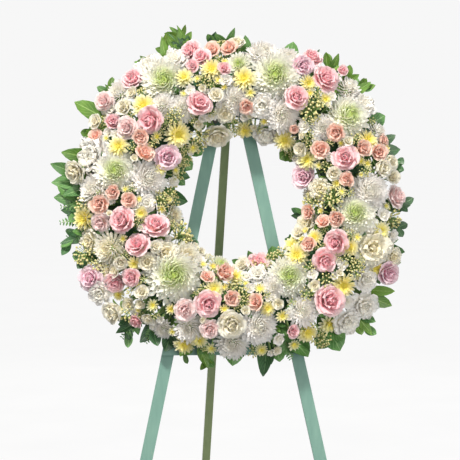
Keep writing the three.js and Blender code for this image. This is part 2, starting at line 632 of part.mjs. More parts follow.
// The rear leg and its pivot, in a group of their own: x along the pivot bolt, y up the plane, z forward
function buildRearLeg(pivot, bracketScrew) {
  const wall = PIVOT.behind; // from the bolt's axis to the inner face of the bracket's back
  const inner = REAR_LATH.width / 2 + BRACKET.slack;
  const outer = inner + BRACKET.plate;
  const mouth = wall - BRACKET.reach;
  const profile = [
    [-outer, wall + BRACKET.plate],
    [-outer, mouth],
    [-inner, mouth],
    [-inner, wall],
    [inner, wall],
    [inner, mouth],
    [outer, mouth],
    [outer, wall + BRACKET.plate],
  ].map(([x, z]) => [x, -z]);
  const across = (radius, from, to, sides) => {
    return solid(rod(radius, 0, 0, from, to, sides).rotateY(Math.PI / 2));
  };
  const bent = solid(plate(profile, -BRACKET.tall / 2, BRACKET.tall / 2).rotateX(-Math.PI / 2))
    .subtract(across(PIVOT.bolt + TOUCH, -outer - 1, outer + 1, BOLT_SIDES))
    .subtract(bracketScrew.hole);
  pivot.add(node("pivot_bracket", geometryOf(bent), COLOURS.steel));
  pivot.add(node("bracket_screw", geometryOf(bracketScrew.body), COLOURS.steel));

  const boltHead = -outer - TOUCH;
  const nutFace = outer + TOUCH;
  const boltEnd = nutFace + NUT.thick + 2;
  const bolt = across(PIVOT.bolt, boltHead - 0.5, boltEnd, BOLT_SIDES).add(
    across(NUT.reach, boltHead - BOLT_HEAD_THICK, boltHead, BOLT_SIDES),
  );
  pivot.add(node("pivot_bolt", geometryOf(bolt), COLOURS.steel));
  const nut = across(NUT.reach, nutFace, nutFace + NUT.thick, 6).subtract(
    across(PIVOT.bolt + TOUCH, nutFace - 1, boltEnd, BOLT_SIDES),
  );
  pivot.add(node("pivot_nut", geometryOf(nut), COLOURS.steel));

  // The leg hangs from the bolt, swung back until the cut of its heel lies against the bracket
  const up = new THREE.Vector3(0, Math.cos(LEAN), Math.sin(LEAN));
  const upHere = up.clone().applyAxisAngle(Z, REAR_SKEW);
  const floorAt = -(ringHeight + pivot.position.dot(up));
  const blankLong = EASEL_HEIGHT * BLANK_SHARE;
  const blank = new THREE.BoxGeometry(REAR_LATH.width, blankLong, REAR_LATH.deep)
    .translate(0, PIVOT.heel - blankLong / 2, 0)
    .rotateX(LEAN + REAR_SPLAY);
  const leg = solid(blank)
    .trimByPlane([0, 0, -1], TOUCH - wall)
    .trimByPlane(upHere.toArray(), floorAt)
    .subtract(across(PIVOT.bolt + TOUCH, -outer, outer, BOLT_SIDES));
  pivot.add(node("rear_leg", geometryOf(leg), COLOURS.olive));
}

const pivot = new THREE.Group();
pivot.position.set(EASEL_SHIFT, PIVOT.up, boardBack - TOUCH - BRACKET.plate - PIVOT.behind);
pivot.rotation.z = -REAR_SKEW;
pivot.updateMatrix();
const screwHeadAt = PIVOT.behind - TOUCH;
const bracketScrew = fastener(0, BRACKET.screwUp, screwHeadAt, screwHeadAt + SCREW.long / 2, SCREW);
buildEasel(plane, bracketScrew.hole.transform(pivot.matrix.elements));
buildRearLeg(pivot, bracketScrew);
plane.add(pivot);

// The wreath
const holes = [];
const groups = [
  { list: PINK_HEADS, count: PINK_NODES, name: "pink_roses", colour: COLOURS.pink, rise: 4.5 },
  { list: WHITE_HEADS, count: WHITE_NODES, name: "white_blooms", colour: COLOURS.white, rise: 0 },
  { list: YELLOW_HEADS, count: YELLOW_NODES, name: "yellow_sprays", colour: COLOURS.yellow, rise: 9 },
].map(({ list, count, name, colour, rise }) => {
  const level = { out: BRANCHES.out + rise, forward: BRANCHES.forward + rise };
  return { colour, level, nodes: sectors(list.map(planted), count, name) };
});
const everyHead = groups.flatMap((group) => group.nodes.flatMap((each) => each.heads));
for (const head of everyHead) {
  head.body = headSolid(head, everyHead);
  stand(head.owner, head.body);
}
for (const each of groups.flatMap((group) => group.nodes)) {
  each.stem = stemFor(each);
  holes.push(each.stem.hole);
}
for (const { nodes, colour, level } of groups) {
  nodes.forEach((each) => plane.add(headsNode(each, level, colour)));
}
OUTER_SPRIGS.forEach((run, i) => {
  plane.add(sprig(`outer_leaves_${i + 1}`, run, OUTER_LEAVES, TRAY.outer + SPRIG.aside, holes));
});
INNER_SPRIGS.forEach((run, i) => {
  plane.add(sprig(`inner_leaves_${i + 1}`, run, INNER_LEAVES, TRAY.inner - SPRIG.aside, holes));
});

const trayProfile = [
  [TRAY.inner, TOUCH],
  [TRAY.inner, TRAY.rim],
  [TRAY.inner + TRAY.floor, TRAY.rim],
  [TRAY.inner + TRAY.floor, TOUCH + TRAY.floor],
  [TRAY.outer - TRAY.floor, TOUCH + TRAY.floor],
  [TRAY.outer - TRAY.floor, TRAY.rim],
  [TRAY.outer, TRAY.rim],
  [TRAY.outer, TOUCH],
];
const foamFloor = 2 * TOUCH + TRAY.floor;
const foamIn = TRAY.inner + TRAY.floor + TOUCH;
const foamOut = TRAY.outer - TRAY.floor - TOUCH;
const foamProfile = [
  [foamIn, foamFloor],
  [foamIn, FOAM_SHOULDER],
  [foamIn + FOAM_BEVEL, FOAM_TOP],
  [foamOut - FOAM_BEVEL, FOAM_TOP],
  [foamOut, FOAM_SHOULDER],
  [foamOut, foamFloor],
];
plane.add(node("ring_tray", geometryOf(ringSolid(trayProfile, RING_SEGMENTS)), COLOURS.tray));
const foam = holes.reduce((body, hole) => body.subtract(hole), ringSolid(foamProfile, RING_SEGMENTS));
plane.add(node("foam_ring", geometryOf(largest(foam)), COLOURS.foam));

// The origin is on the floor, under the middle of the whole piece
const wreath = new THREE.Group();
wreath.add(plane);
wreath.updateMatrixWorld(true);
const middle = new THREE.Box3().setFromObject(wreath, true).getCenter(new THREE.Vector3());
plane.position.x -= middle.x;
plane.position.y -= middle.y;

export default wreath;
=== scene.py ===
"""A funeral wreath on its folding easel: the looks of every bloom, leaf, lath and fitting.

Lengths inside the wreath's classes are millimetres in the leaning plane of the easel's front legs: x to
the right, y up the plane, z out of it towards the mourner. RingPlane turns them into the frame's metres.
"""

import logging
import math
from dataclasses import dataclass, field, fields
from enum import Enum

import bpy
import numpy as np
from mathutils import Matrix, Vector


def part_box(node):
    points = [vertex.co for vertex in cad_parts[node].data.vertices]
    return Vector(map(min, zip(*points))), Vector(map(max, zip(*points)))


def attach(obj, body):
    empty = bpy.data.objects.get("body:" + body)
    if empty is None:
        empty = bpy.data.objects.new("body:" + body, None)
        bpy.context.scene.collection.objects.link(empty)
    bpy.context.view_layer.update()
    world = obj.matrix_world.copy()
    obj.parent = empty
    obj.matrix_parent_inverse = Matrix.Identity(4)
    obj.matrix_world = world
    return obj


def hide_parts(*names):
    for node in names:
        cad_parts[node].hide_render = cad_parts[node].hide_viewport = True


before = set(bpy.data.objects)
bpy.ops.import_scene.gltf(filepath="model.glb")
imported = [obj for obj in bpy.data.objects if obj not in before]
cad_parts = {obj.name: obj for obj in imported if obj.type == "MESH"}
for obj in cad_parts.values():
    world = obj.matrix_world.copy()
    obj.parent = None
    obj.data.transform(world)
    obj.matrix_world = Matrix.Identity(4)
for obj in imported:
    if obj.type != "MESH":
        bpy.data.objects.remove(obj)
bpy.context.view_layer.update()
LOG = logging.getLogger("wreath")
MM = 0.001
TURN = 2 * math.pi

Triple = tuple[float, float, float]
Colour = Triple
Socket = bpy.types.NodeSocket
Value = Socket | float


class Bed(Enum):
    """A colour of flower that is planted together, by the name of its nodes."""

    PINK = "pink_roses"
    WHITE = "white_blooms"
    YELLOW = "yellow_sprays"


class Kind(Enum):
    """A kind of flower head."""

    ROSE = "rose"
    SPRAY = "spray rose"
    LARGE_MUM = "large pompon"
    MUM = "pompon"
    FRILL = "frilled flower"
    DAISY = "daisy"
    BUDS = "bud spray"


class Tone(Enum):
    """The colouring of a flower head."""

    PINK = "pink"
    BLUSH = "blush"
    PEACH = "peach"
    LILAC = "lilac"
    GREEN_HEART = "green heart"
    WHITE = "white"
    CREAM = "cream"
    YELLOW = "yellow"
    LEMON = "lemon"
    LIME = "lime"


class Green(Enum):
    """The colouring of a leaf."""

    DEEP = "deep"
    MID = "mid"
    FRESH = "fresh"


# The planting, in millimetres from the ring's centre: each head's place to the right and up, and its width
PLANTING: dict[Bed, list[tuple[Kind, Tone, list[tuple[int, int, int]]]]] = {
    Bed.PINK: [
        (Kind.ROSE, Tone.PINK, [
            (-90, 270, 42), (-70, 250, 36), (-194, 218, 44), (-77, 167, 46), (-164, 135, 50),
            (-213, -43, 48), (-157, -52, 50), (-187, -86, 46), (-224, -148, 40), (-197, -142, 34),
            (-63, -192, 48), (27, -106, 44), (151, -185, 58), (146, -117, 44), (166, -84, 46),
            (184, 68, 48), (132, 258, 38), (151, 212, 54), (97, 176, 46)]),
        (Kind.ROSE, Tone.BLUSH, [
            (-247, 178, 38), (-203, 122, 42), (-250, -45, 38), (-104, -201, 40), (-60, -234, 36),
            (274, 2, 46)]),
        (Kind.ROSE, Tone.LILAC, [
            (-137, 72, 46), (-272, -142, 46), (119, 41, 46), (264, -137, 42), (110, 234, 40)]),
        (Kind.SPRAY, Tone.PEACH, [
            (-50, 266, 32), (-20, 268, 32), (8, 164, 28), (-182, 106, 30), (-175, 77, 34), (-262, 113, 27),
            (-229, 7, 27), (-252, -12, 36), (-203, -7, 29), (-23, -184, 30), (22, -190, 32), (-66, -147, 26),
            (-36, -141, 34), (121, -88, 28), (126, -27, 30), (169, -41, 30), (148, -48, 27), (187, 29, 28),
            (168, 113, 33), (142, 85, 34), (213, 84, 32), (243, 78, 33), (257, 104, 26), (96, 124, 18)]),
        (Kind.SPRAY, Tone.PINK, [
            (-87, 232, 25), (-31, 227, 26), (-228, 134, 30), (-191, -220, 26), (86, -238, 26),
            (187, 234, 22)]),
    ],
    Bed.WHITE: [
        (Kind.LARGE_MUM, Tone.GREEN_HEART, [
            (-139, 212, 82), (61, 220, 84), (193, 146, 80), (202, -32, 74), (81, -142, 72),
            (-124, -139, 104), (-227, 47, 74)]),
        (Kind.LARGE_MUM, Tone.WHITE, [(41, 263, 66), (-166, 32, 70), (229, 9, 66), (27, -232, 66)]),
        (Kind.MUM, Tone.WHITE, [
            (-221, 193, 48), (-104, 160, 44), (-142, 166, 40), (-13, 175, 46), (85, 256, 44), (72, 146, 56),
            (144, 123, 42), (198, 202, 46), (250, 122, 36), (-265, 14, 56), (106, -205, 50), (54, -160, 40),
            (-20, -262, 56), (-97, -234, 48), (-144, -236, 32)]),
        (Kind.MUM, Tone.GREEN_HEART, [(-4, 239, 42), (-36, -108, 44)]),
        (Kind.MUM, Tone.CREAM, [(99, 5, 30), (-238, -92, 54), (-101, -103, 46), (-121, -29, 40)]),
        (Kind.FRILL, Tone.WHITE, [
            (-268, 77, 76), (-119, 254, 46), (-166, 241, 50), (36, 164, 46), (43, 108, 42), (224, 170, 46),
            (221, -148, 44), (220, -194, 48), (189, -223, 46), (-256, -169, 40), (27, -138, 34),
            (-234, 161, 34), (-171, -12, 28)]),
        (Kind.FRILL, Tone.CREAM, [
            (140, 16, 36), (104, -40, 38), (232, -92, 60), (274, -106, 34), (-139, -99, 44), (-274, -76, 38),
            (-171, -117, 32), (-30, 151, 34)]),
        (Kind.ROSE, Tone.CREAM, [(-300, 50, 46), (-45, 119, 50), (-22, -227, 50)]),
        (Kind.SPRAY, Tone.CREAM, [
            (-229, -202, 42), (-5, 284, 34), (248, 50, 36), (270, 66, 30), (273, 38, 28), (165, 41, 26),
            (108, 90, 27), (-47, 182, 26), (-207, 160, 32), (-193, 187, 24), (-216, -115, 26),
            (-158, -92, 24),
            (-178, -168, 26), (-200, -186, 26), (-167, -211, 22), (2, -122, 30), (110, 112, 16),
            (-262, 141, 28), (101, -62, 26)]),
    ],
    Bed.YELLOW: [
        (Kind.DAISY, Tone.YELLOW, [
            (-54, 229, 40), (4, 211, 42), (-176, 164, 40), (-115, 112, 48), (-221, 90, 38), (7, 126, 32),
            (79, 106, 40), (119, 204, 32), (227, 102, 40), (-284, -36, 44), (130, -74, 28), (97, -106, 40),
            (190, -92, 32), (179, -160, 44), (115, -241, 38), (-105, -262, 38), (-13, -144, 28),
            (-193, -119, 26), (-182, -30, 24), (42, -201, 26), (240, -126, 34)]),
        (Kind.DAISY, Tone.LEMON, [
            (-103, 214, 36), (119, 68, 38), (88, -80, 36), (248, -61, 36), (157, -227, 38), (-78, -254, 28),
            (-53, -166, 34), (-222, -172, 24), (-148, 50, 24), (34, -272, 24), (-247, -146, 24)]),
        (Kind.BUDS, Tone.LIME, [
            (-122, 145, 24), (-245, 140, 22), (-284, -12, 28), (-112, -66, 36), (-148, -5, 26),
            (-284, -103, 30), (0, -186, 24), (142, -258, 26), (160, -4, 34), (116, -5, 24), (274, -38, 30),
            (124, 155, 34), (-36, 280, 20), (-76, 115, 26), (200, -131, 26), (52, -103, 26)]),
    ],
}
BED_NODES = {Bed.PINK: 13, Bed.WHITE: 12, Bed.YELLOW: 8}
BED_SLOTS = {Bed.PINK: "pink_petals", Bed.WHITE: "white_petals", Bed.YELLOW: "yellow_petals"}
# The share of a turn by which each bed's first stretch of the ring starts left of the top
SECTOR_START = 0.03

# The leaves: degrees clockwise from the top, reach, width, turn and rise at the tip
OUTER_LEAVES = [
    (-26, 332, 13, 22, 8), (-21, 334, 13, 6, 10), (-15, 322, 14, -24, 6),
    (-31, 318, 20, -14, 6), (-27, 326, 18, 6, 12), (-23, 330, 20, 14, 8), (-17, 312, 20, -18, 4),
    (-12, 310, 20, 16, 10), (-5, 312, 18, 10, 16), (3, 300, 18, -8, 6), (21, 304, 30, -10, 6),
    (26, 310, 16, 12, 4), (35, 318, 20, -8, 14), (39, 316, 20, 18, 10), (46, 318, 18, 8, 12),
    (59, 304, 36, 4, 2), (70, 306, 26, 12, -6), (80, 300, 20, -14, 8), (90, 308, 22, 10, -4),
    (97, 304, 22, 22, -8), (107, 310, 26, 4, 0), (115, 316, 26, 12, -6), (128, 330, 26, -10, 4),
    (134, 336, 24, 10, 12), (146, 322, 46, 6, 10), (160, 306, 40, -6, 16), (164, 300, 30, 16, 6),
    (171, 318, 32, 6, 10), (183, 298, 36, 4, 4), (194, 308, 20, -10, 12), (199, 302, 22, 12, 6),
    (209, 304, 30, -8, 8), (214, 312, 30, 8, 4), (221, 326, 22, 4, 14), (236, 300, 22, 6, 4),
    (252, 316, 22, -12, 4), (258, 330, 22, -4, 10), (264, 322, 24, 12, 2), (271, 332, 32, 0, 6),
    (277, 338, 34, -6, 2), (284, 330, 32, 6, 8), (294, 304, 24, 4, 4), (302, 344, 32, -4, 2),
    (307, 322, 20, 16, 0), (318, 302, 24, 4, 0),
]
INNER_LEAVES = [
    (46, 104, 34, 4, 0), (62, 116, 24, -10, 4), (98, 92, 16, -14, 6), (112, 108, 20, 10, 2),
    (128, 106, 24, -8, 4), (152, 100, 26, 10, 8), (172, 94, 22, -6, 12), (232, 108, 24, 8, 4),
    (248, 112, 22, -8, 2), (272, 96, 30, 6, 0), (290, 100, 26, -10, -4), (306, 104, 28, 8, -4),
    (318, 108, 30, -4, 2),
]
OUTER_SPRIGS = [(-34, 28), (32, 100), (104, 150), (156, 224), (232, 322)]
INNER_SPRIGS = [(42, 86), (88, 132), (134, 176), (228, 274), (276, 322)]

# The leaves' greens: each holds for the leaves before its degree
OUTER_GREENS = [
    (-20, Green.FRESH), (-8, Green.DEEP), (22, Green.MID), (30, Green.DEEP), (48, Green.FRESH),
    (66, Green.MID), (104, Green.DEEP), (126, Green.MID), (138, Green.FRESH), (168, Green.MID),
    (176, Green.DEEP), (188, Green.MID), (204, Green.FRESH), (265, Green.DEEP), (280, Green.MID),
    (330, Green.FRESH),
]
INNER_GREENS = [(60, Green.FRESH), (120, Green.DEEP), (180, Green.MID), (300, Green.DEEP), (330, Green.MID)]


def unit(vectors: np.ndarray) -> np.ndarray:
    """Vectors divided by their length."""
    return vectors / np.linalg.norm(vectors, axis=-1, keepdims=True)


def polar(angle: np.ndarray | float, radius: np.ndarray | float, height: np.ndarray | float) -> np.ndarray:
    """Points by their angle clockwise from the top, radius and height: r * sin(a), r * cos(a) and h."""
    parts = np.broadcast_arrays(radius * np.sin(angle), radius * np.cos(angle), height)
    return np.stack(parts, axis=-1).astype(float)


@dataclass(frozen=True)
class RingPlane:
    """The leaning plane in which the wreath is arranged, and the surface on which its heads sit."""

    lean: float = math.radians(9)
    tray_middle: float = 4.65
    ring: float = 200.0
    back: float = 25.0
    out: float = 76.0
    forward: float = 62.0

    @property
    def axes(self) -> np.ndarray:
        """The plane's right, up and forward directions in the frame, as rows."""
        sine, cosine = math.sin(self.lean), math.cos(self.lean)
        return np.array([[1, 0, 0], [0, sine, cosine], [0, -cosine, sine]])

    @property
    def centre(self) -> np.ndarray:
        """The ring's centre on the legs' front faces.

        Returns:
            The middle of the tray's box less tray_middle forwards, in metres.
        """
        low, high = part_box("ring_tray")
        middle = (np.array(low) + np.array(high)) / 2
        return middle - self.axes[2] * self.tray_middle * MM

    def to_frame(self, points: np.ndarray) -> np.ndarray:
        """The plane's millimetres as the frame's metres: centre + x * right + y * up + z * forward."""
        return self.centre + (points * MM) @ self.axes

    def on_ring(self, angle: np.ndarray, tilt: np.ndarray, out: float, forward: float) -> np.ndarray:
        """A point of an ellipse round the ring's section.

        Args:
            angle: clockwise from the top, in radians.
            tilt: across the section, from -pi/2 at the hole to pi/2 at the rim.
            out: the ellipse's half-axis along the radius.
            forward: its half-axis towards the mourner.

        Returns:
            Points at radius ring + out * sin(tilt) and height back + forward * cos(tilt).
        """
        return polar(angle, self.ring + out * np.sin(tilt), self.back + forward * np.cos(tilt))

    def normal(self, angle: np.ndarray, tilt: np.ndarray) -> np.ndarray:
        """The outward direction of the heads' surface.

        Args:
            angle: clockwise from the top, in radians.
            tilt: across the section.

        Returns:
            Unit vectors along forward * sin(tilt) outwards and out * cos(tilt) ahead.
        """
        return unit(polar(angle, self.forward * np.sin(tilt), self.out * np.cos(tilt)))


PLANE = RingPlane()


class Nodes:
    """A few words for making a material's nodes."""

    TINT_SPREAD = 40.0

    def __init__(self, name: str) -> None:
        """Starts a material that holds one Principled shader.

        Args:
            name: the material's name.
        """
        self.material = bpy.data.materials.new(name)
        self.material.use_nodes = True
        self.tree = self.material.node_tree
        self.shader = self.tree.nodes["Principled BSDF"]

    def link(self, source: Socket, target: Socket) -> None:
        """Joins two sockets."""
        self.tree.links.new(source, target)

    def add(self, kind: str, inputs: dict[str | int, Value | tuple], **settings: str) -> bpy.types.Node:
        """Adds a node.

        Args:
            kind: the node's type.
            inputs: a socket, number, vector or linear colour for each input, by its name or number.
            settings: the node's own settings.

        Returns:
            The node.
        """
        node = self.tree.nodes.new(kind)
        for name, value in settings.items():
            setattr(node, name, value)
        for name, value in inputs.items():
            socket = node.inputs[name]
            if isinstance(value, Socket):
                self.link(value, socket)
            else:
                socket.default_value = (*value, 1) if socket.type == "RGBA" else value
        return node

    def mark(self, name: str) -> Socket:
        """The value of one of the mesh's own attributes."""
        return self.add("ShaderNodeAttribute", {}, attribute_name=name).outputs["Fac"]

    def ramp(self, value: Socket, stops: list[tuple[float, Colour]]) -> Socket:
        """A colour ramp.

        Args:
            value: what drives the ramp.
            stops: places from 0 to 1, each with its linear colour.

        Returns:
            The ramp's colour.
        """
        node = self.add("ShaderNodeValToRGB", {"Fac": value})
        elements = node.color_ramp.elements
        elements[0].position, elements[1].position = stops[0][0], stops[-1][0]
        elements[0].color, elements[1].color = (*stops[0][1], 1), (*stops[-1][1], 1)
        for place, colour in stops[1:-1]:
            elements.new(place).color = (*colour, 1)
        return node.outputs["Color"]

    def mix(self, factor: Value, first: Socket | Colour, second: Socket | Colour) -> Socket:
        """Mixes two colours by a factor."""
        return self.add("ShaderNodeMix", {"Factor": factor, 6: first, 7: second}, data_type="RGBA").outputs[2]

    def math(self, operation: str, first: Value, second: Value = 0.0) -> Socket:
        """One step of arithmetic."""
        return self.add("ShaderNodeMath", {0: first, 1: second}, operation=operation).outputs[0]

    def times(self, first: Value, second: Value) -> Socket:
        """The product of two values."""
        return self.math("MULTIPLY", first, second)

    def plus(self, first: Value, second: Value) -> Socket:
        """The sum of two values."""
        return self.math("ADD", first, second)

    def minus(self, first: Value, second: Value) -> Socket:
        """The first value less the second."""
        return self.math("SUBTRACT", first, second)

    def place(self, scale: Triple = (1, 1, 1), turn: Triple = (0, 0, 0)) -> Socket:
        """The object's own coordinates, turned and stretched.

        Args:
            scale: how much denser the pattern is along x, y and z.
            turn: the turn about x, y and z, in radians.

        Returns:
            The coordinates.
        """
        coordinates = self.add("ShaderNodeTexCoord", {}).outputs["Object"]
        inputs = {"Scale": scale, "Rotation": turn, "Vector": coordinates}
        return self.add("ShaderNodeMapping", inputs).outputs["Vector"]

    def noise(self, vector: Socket, scale: float, detail: float = 3.0) -> Socket:
        """Fractal noise over a vector."""
        inputs = {"Scale": scale, "Detail": detail, "Vector": vector}
        return self.add("ShaderNodeTexNoise", inputs).outputs["Fac"]

    def blade_vector(self, along: float, across: float) -> Socket:
        """Coordinates that follow a petal or leaf.

        Args:
            along: how dense the pattern is along the blade.
            across: how dense it is across the blade.

        Returns:
            The across and along marks by their densities, and the tint, which sets every blade apart.
        """
        inputs = {
            "X": self.times(self.mark("across"), across),
            "Y": self.times(self.mark("along"), along),
            "Z": self.times(self.mark("tint"), self.TINT_SPREAD),
        }
        return self.add("ShaderNodeCombineXYZ", inputs).outputs["Vector"]

    def bump(self, height: Socket, strength: float, distance: float) -> None:
        """Gives the shader a bumped normal."""
        node = self.add("ShaderNodeBump", {"Strength": strength, "Distance": distance, "Height": height})
        self.link(node.outputs["Normal"], self.shader.inputs["Normal"])

    def colour(self, socket: Socket) -> None:
        """Gives the shader its colour."""
        self.link(socket, self.shader.inputs["Base Color"])

    def rough(self, value: Socket, low: float, high: float) -> None:
        """Gives the shader a roughness that runs from low to high with a value."""
        span = self.add("ShaderNodeMapRange", {"To Min": low, "To Max": high, "Value": value})
        self.link(span.outputs["Result"], self.shader.inputs["Roughness"])

    def set(self, **values: float | tuple) -> None:
        """Sets numbers and colours on the shader's own sockets, with _ for a space in their names."""
        for name, value in values.items():
            self.shader.inputs[name.replace("_", " ")].default_value = value


class Finish:
    """What a surface is dressed in. Its material is made when it is first asked for."""

    MADE: dict[str, bpy.types.Material] = {}
    name: str

    def material(self) -> bpy.types.Material:
        """The finish's material.

        Returns:
            The same material for every surface in this finish.
        """
        if self.name not in self.MADE:
            nodes = Nodes(self.name)
            self.wire(nodes)
            self.MADE[self.name] = nodes.material
        return self.MADE[self.name]

    def wire(self, nodes: Nodes) -> None:
        """Joins the material's nodes, which each kind of finish does in its own way."""
        raise NotImplementedError


@dataclass(frozen=True)
class PetalFinish(Finish):
    """A petal's colour from its base to its edge, paler or deeper in the flower's heart, with fine veins."""

    name: str
    base: Colour
    middle: Colour
    edge: Colour
    heart: Colour
    heart_share: float = 0.6
    middle_at: float = 0.45
    vein: float = 0.12
    tint_range: tuple[float, float] = (0.92, 0.10)
    relief: float = 0.0004
    rough: tuple[float, float] = (0.58, 0.76)
    gleam: Colour = (1.0, 0.8, 0.7)
    glow: float = 0.42
    glow_depth: float = 0.005

    def wire(self, nodes: Nodes) -> None:
        """A ramp along the petal, mixed with the heart's colour by heart_share * (1 - layer), then made
        lighter or darker by the veins and the tint, with a soft glow and sheen.

        Args:
            nodes: the material's nodes.
        """
        stops = [(0.0, self.base), (self.middle_at, self.middle), (1.0, self.edge)]
        ramp = nodes.ramp(nodes.mark("along"), stops)
        heart = nodes.times(nodes.minus(1.0, nodes.mark("layer")), self.heart_share)
        coloured = nodes.mix(heart, ramp, self.heart)
        streaks = nodes.noise(nodes.blade_vector(1.2, 9.0), 1.0, 4.0)
        shade = nodes.plus(nodes.times(streaks, self.vein), 1.0 - self.vein * 0.5)
        least, span = self.tint_range
        tinted = nodes.times(shade, nodes.plus(nodes.times(nodes.mark("tint"), span), least))
        tone = nodes.add("ShaderNodeHueSaturation", {"Color": coloured, "Value": tinted})
        nodes.colour(tone.outputs["Color"])
        nodes.bump(streaks, 0.35, self.relief)
        nodes.rough(streaks, *self.rough)
        nodes.set(Subsurface_Weight=self.glow, Subsurface_Radius=self.gleam, Subsurface_Scale=self.glow_depth)
        nodes.set(Sheen_Weight=0.2, Sheen_Roughness=0.5, Specular_IOR_Level=0.25)


@dataclass(frozen=True)
class LeafFinish(Finish):
    """A leaf's green, with a paler midrib and side veins, darker blotches and a waxy gleam."""

    name: str
    deep: Colour
    light: Colour
    rib: Colour
    rough: float = 0.38
    veins: float = 9.0
    slant: float = 2.6
    vein_from: float = 0.86
    rib_half: float = 0.06

    def wire(self, nodes: Nodes) -> None:
        """Veins stand where sin(2 pi * (veins * along - slant * |across|)) passes vein_from, the rib where
        |across| is below rib_half, and the green follows noise and the leaf's tint.

        Args:
            nodes: the material's nodes.
        """
        side = nodes.math("ABSOLUTE", nodes.mark("across"))
        slant = nodes.minus(nodes.times(nodes.mark("along"), self.veins), nodes.times(side, self.slant))
        wave = nodes.math("SINE", nodes.times(slant, TURN))
        veins = nodes.math("GREATER_THAN", wave, self.vein_from)
        rib = nodes.math("LESS_THAN", side, self.rib_half)
        lines = nodes.math("MAXIMUM", rib, nodes.times(veins, 0.45))
        blotch = nodes.noise(nodes.place(), 90.0)
        mottled = nodes.plus(nodes.times(blotch, 0.7), nodes.times(nodes.mark("tint"), 0.5))
        green = nodes.ramp(mottled, [(0.25, self.deep), (0.85, self.light)])
        nodes.colour(nodes.mix(lines, green, self.rib))
        nodes.bump(nodes.minus(nodes.times(blotch, 0.4), lines), 0.5, 0.0005)
        nodes.rough(blotch, self.rough - 0.06, self.rough + 0.12)
        nodes.set(Subsurface_Weight=0.12, Subsurface_Radius=(0.5, 1.0, 0.3), Subsurface_Scale=0.002)


@dataclass(frozen=True)
class PaintedLath(Finish):
    """Thin paint over softwood: grain along the lath shows through, with scuffs down to the wood."""

    name: str
    paint: Colour = (0.18, 0.335, 0.27)
    shade: Colour = (0.09, 0.205, 0.18)
    wood: Colour = (0.36, 0.42, 0.31)
    turn: Triple = (0.0, 0.0, 0.0)
    grain: Triple = (160, 160, 5)
    scuff: Triple = (60, 60, 14)
    patches: float = 26.0

    def wire(self, nodes: Nodes) -> None:
        """Noise stretched along the lath makes the grain, broad noise clouds the paint, and where a third
        noise passes 0.66 to 0.74 the wood shows by half.

        Args:
            nodes: the material's nodes.
        """
        grain = nodes.noise(nodes.place(self.grain, self.turn), 1.0, 5.0)
        patches = nodes.noise(nodes.place((1, 1, 0.35), self.turn), self.patches)
        paint = nodes.mix(nodes.times(grain, 0.75), self.paint, self.shade)
        cloudy = nodes.mix(nodes.times(patches, 0.35), paint, self.shade)
        scuffs = nodes.noise(nodes.place(self.scuff, self.turn), 1.0, 6.0)
        worn = nodes.ramp(scuffs, [(0.66, (0, 0, 0)), (0.74, (1, 1, 1))])
        nodes.colour(nodes.mix(nodes.times(worn, 0.5), cloudy, self.wood))
        nodes.bump(grain, 0.35, 0.0006)
        nodes.rough(grain, 0.42, 0.7)


@dataclass(frozen=True)
class FittingSteel(Finish):
    """Zinc-plated steel with a fine brushed grain and dull patches."""

    name: str = "zinc_steel"
    dull: Colour = (0.13, 0.14, 0.13)
    bright: Colour = (0.26, 0.27, 0.26)

    def wire(self, nodes: Nodes) -> None:
        """Fine stretched noise in roughness and bump, and coarser noise between dull and bright.

        Args:
            nodes: the material's nodes.
        """
        brushed = nodes.noise(nodes.place((900, 900, 140)), 1.0, 4.0)
        patches = nodes.noise(nodes.place(), 240.0)
        nodes.colour(nodes.ramp(patches, [(0.3, self.dull), (0.8, self.bright)]))
        nodes.bump(brushed, 0.2, 0.0002)
        nodes.rough(brushed, 0.26, 0.5)
        nodes.set(Metallic=1.0)


@dataclass(frozen=True)
class MouldedTray(Finish):
    """Dark green moulded plastic, slightly uneven, with a fine spark-eroded texture."""

    name: str = "tray_plastic"
    dark: Colour = (0.012, 0.05, 0.02)
    light: Colour = (0.02, 0.08, 0.03)

    def wire(self, nodes: Nodes) -> None:
        """Fine noise for the moulded texture and broad noise between dark and light.

        Args:
            nodes: the material's nodes.
        """
        fine = nodes.noise(nodes.place(), 1400.0)
        broad = nodes.noise(nodes.place(), 18.0)
        nodes.colour(nodes.ramp(broad, [(0.3, self.dark), (0.75, self.light)]))
        nodes.bump(fine, 0.25, 0.0002)
        nodes.rough(broad, 0.42, 0.6)


@dataclass(frozen=True)
class WetFoam(Finish):
    """Soaked floral foam: dark green, crumbly and full of fine open cells."""

    name: str = "floral_foam"
    dark: Colour = (0.02, 0.075, 0.03)
    light: Colour = (0.045, 0.13, 0.05)

    def wire(self, nodes: Nodes) -> None:
        """Voronoi cells for the pores and noise for the wet patches.

        Args:
            nodes: the material's nodes.
        """
        cells = nodes.add("ShaderNodeTexVoronoi", {"Scale": 900.0, "Vector": nodes.place()})
        wet = nodes.noise(nodes.place(), 30.0)
        nodes.colour(nodes.ramp(wet, [(0.3, self.dark), (0.75, self.light)]))
        nodes.bump(cells.outputs["Distance"], 0.8, 0.0012)
        nodes.rough(wet, 0.75, 0.95)


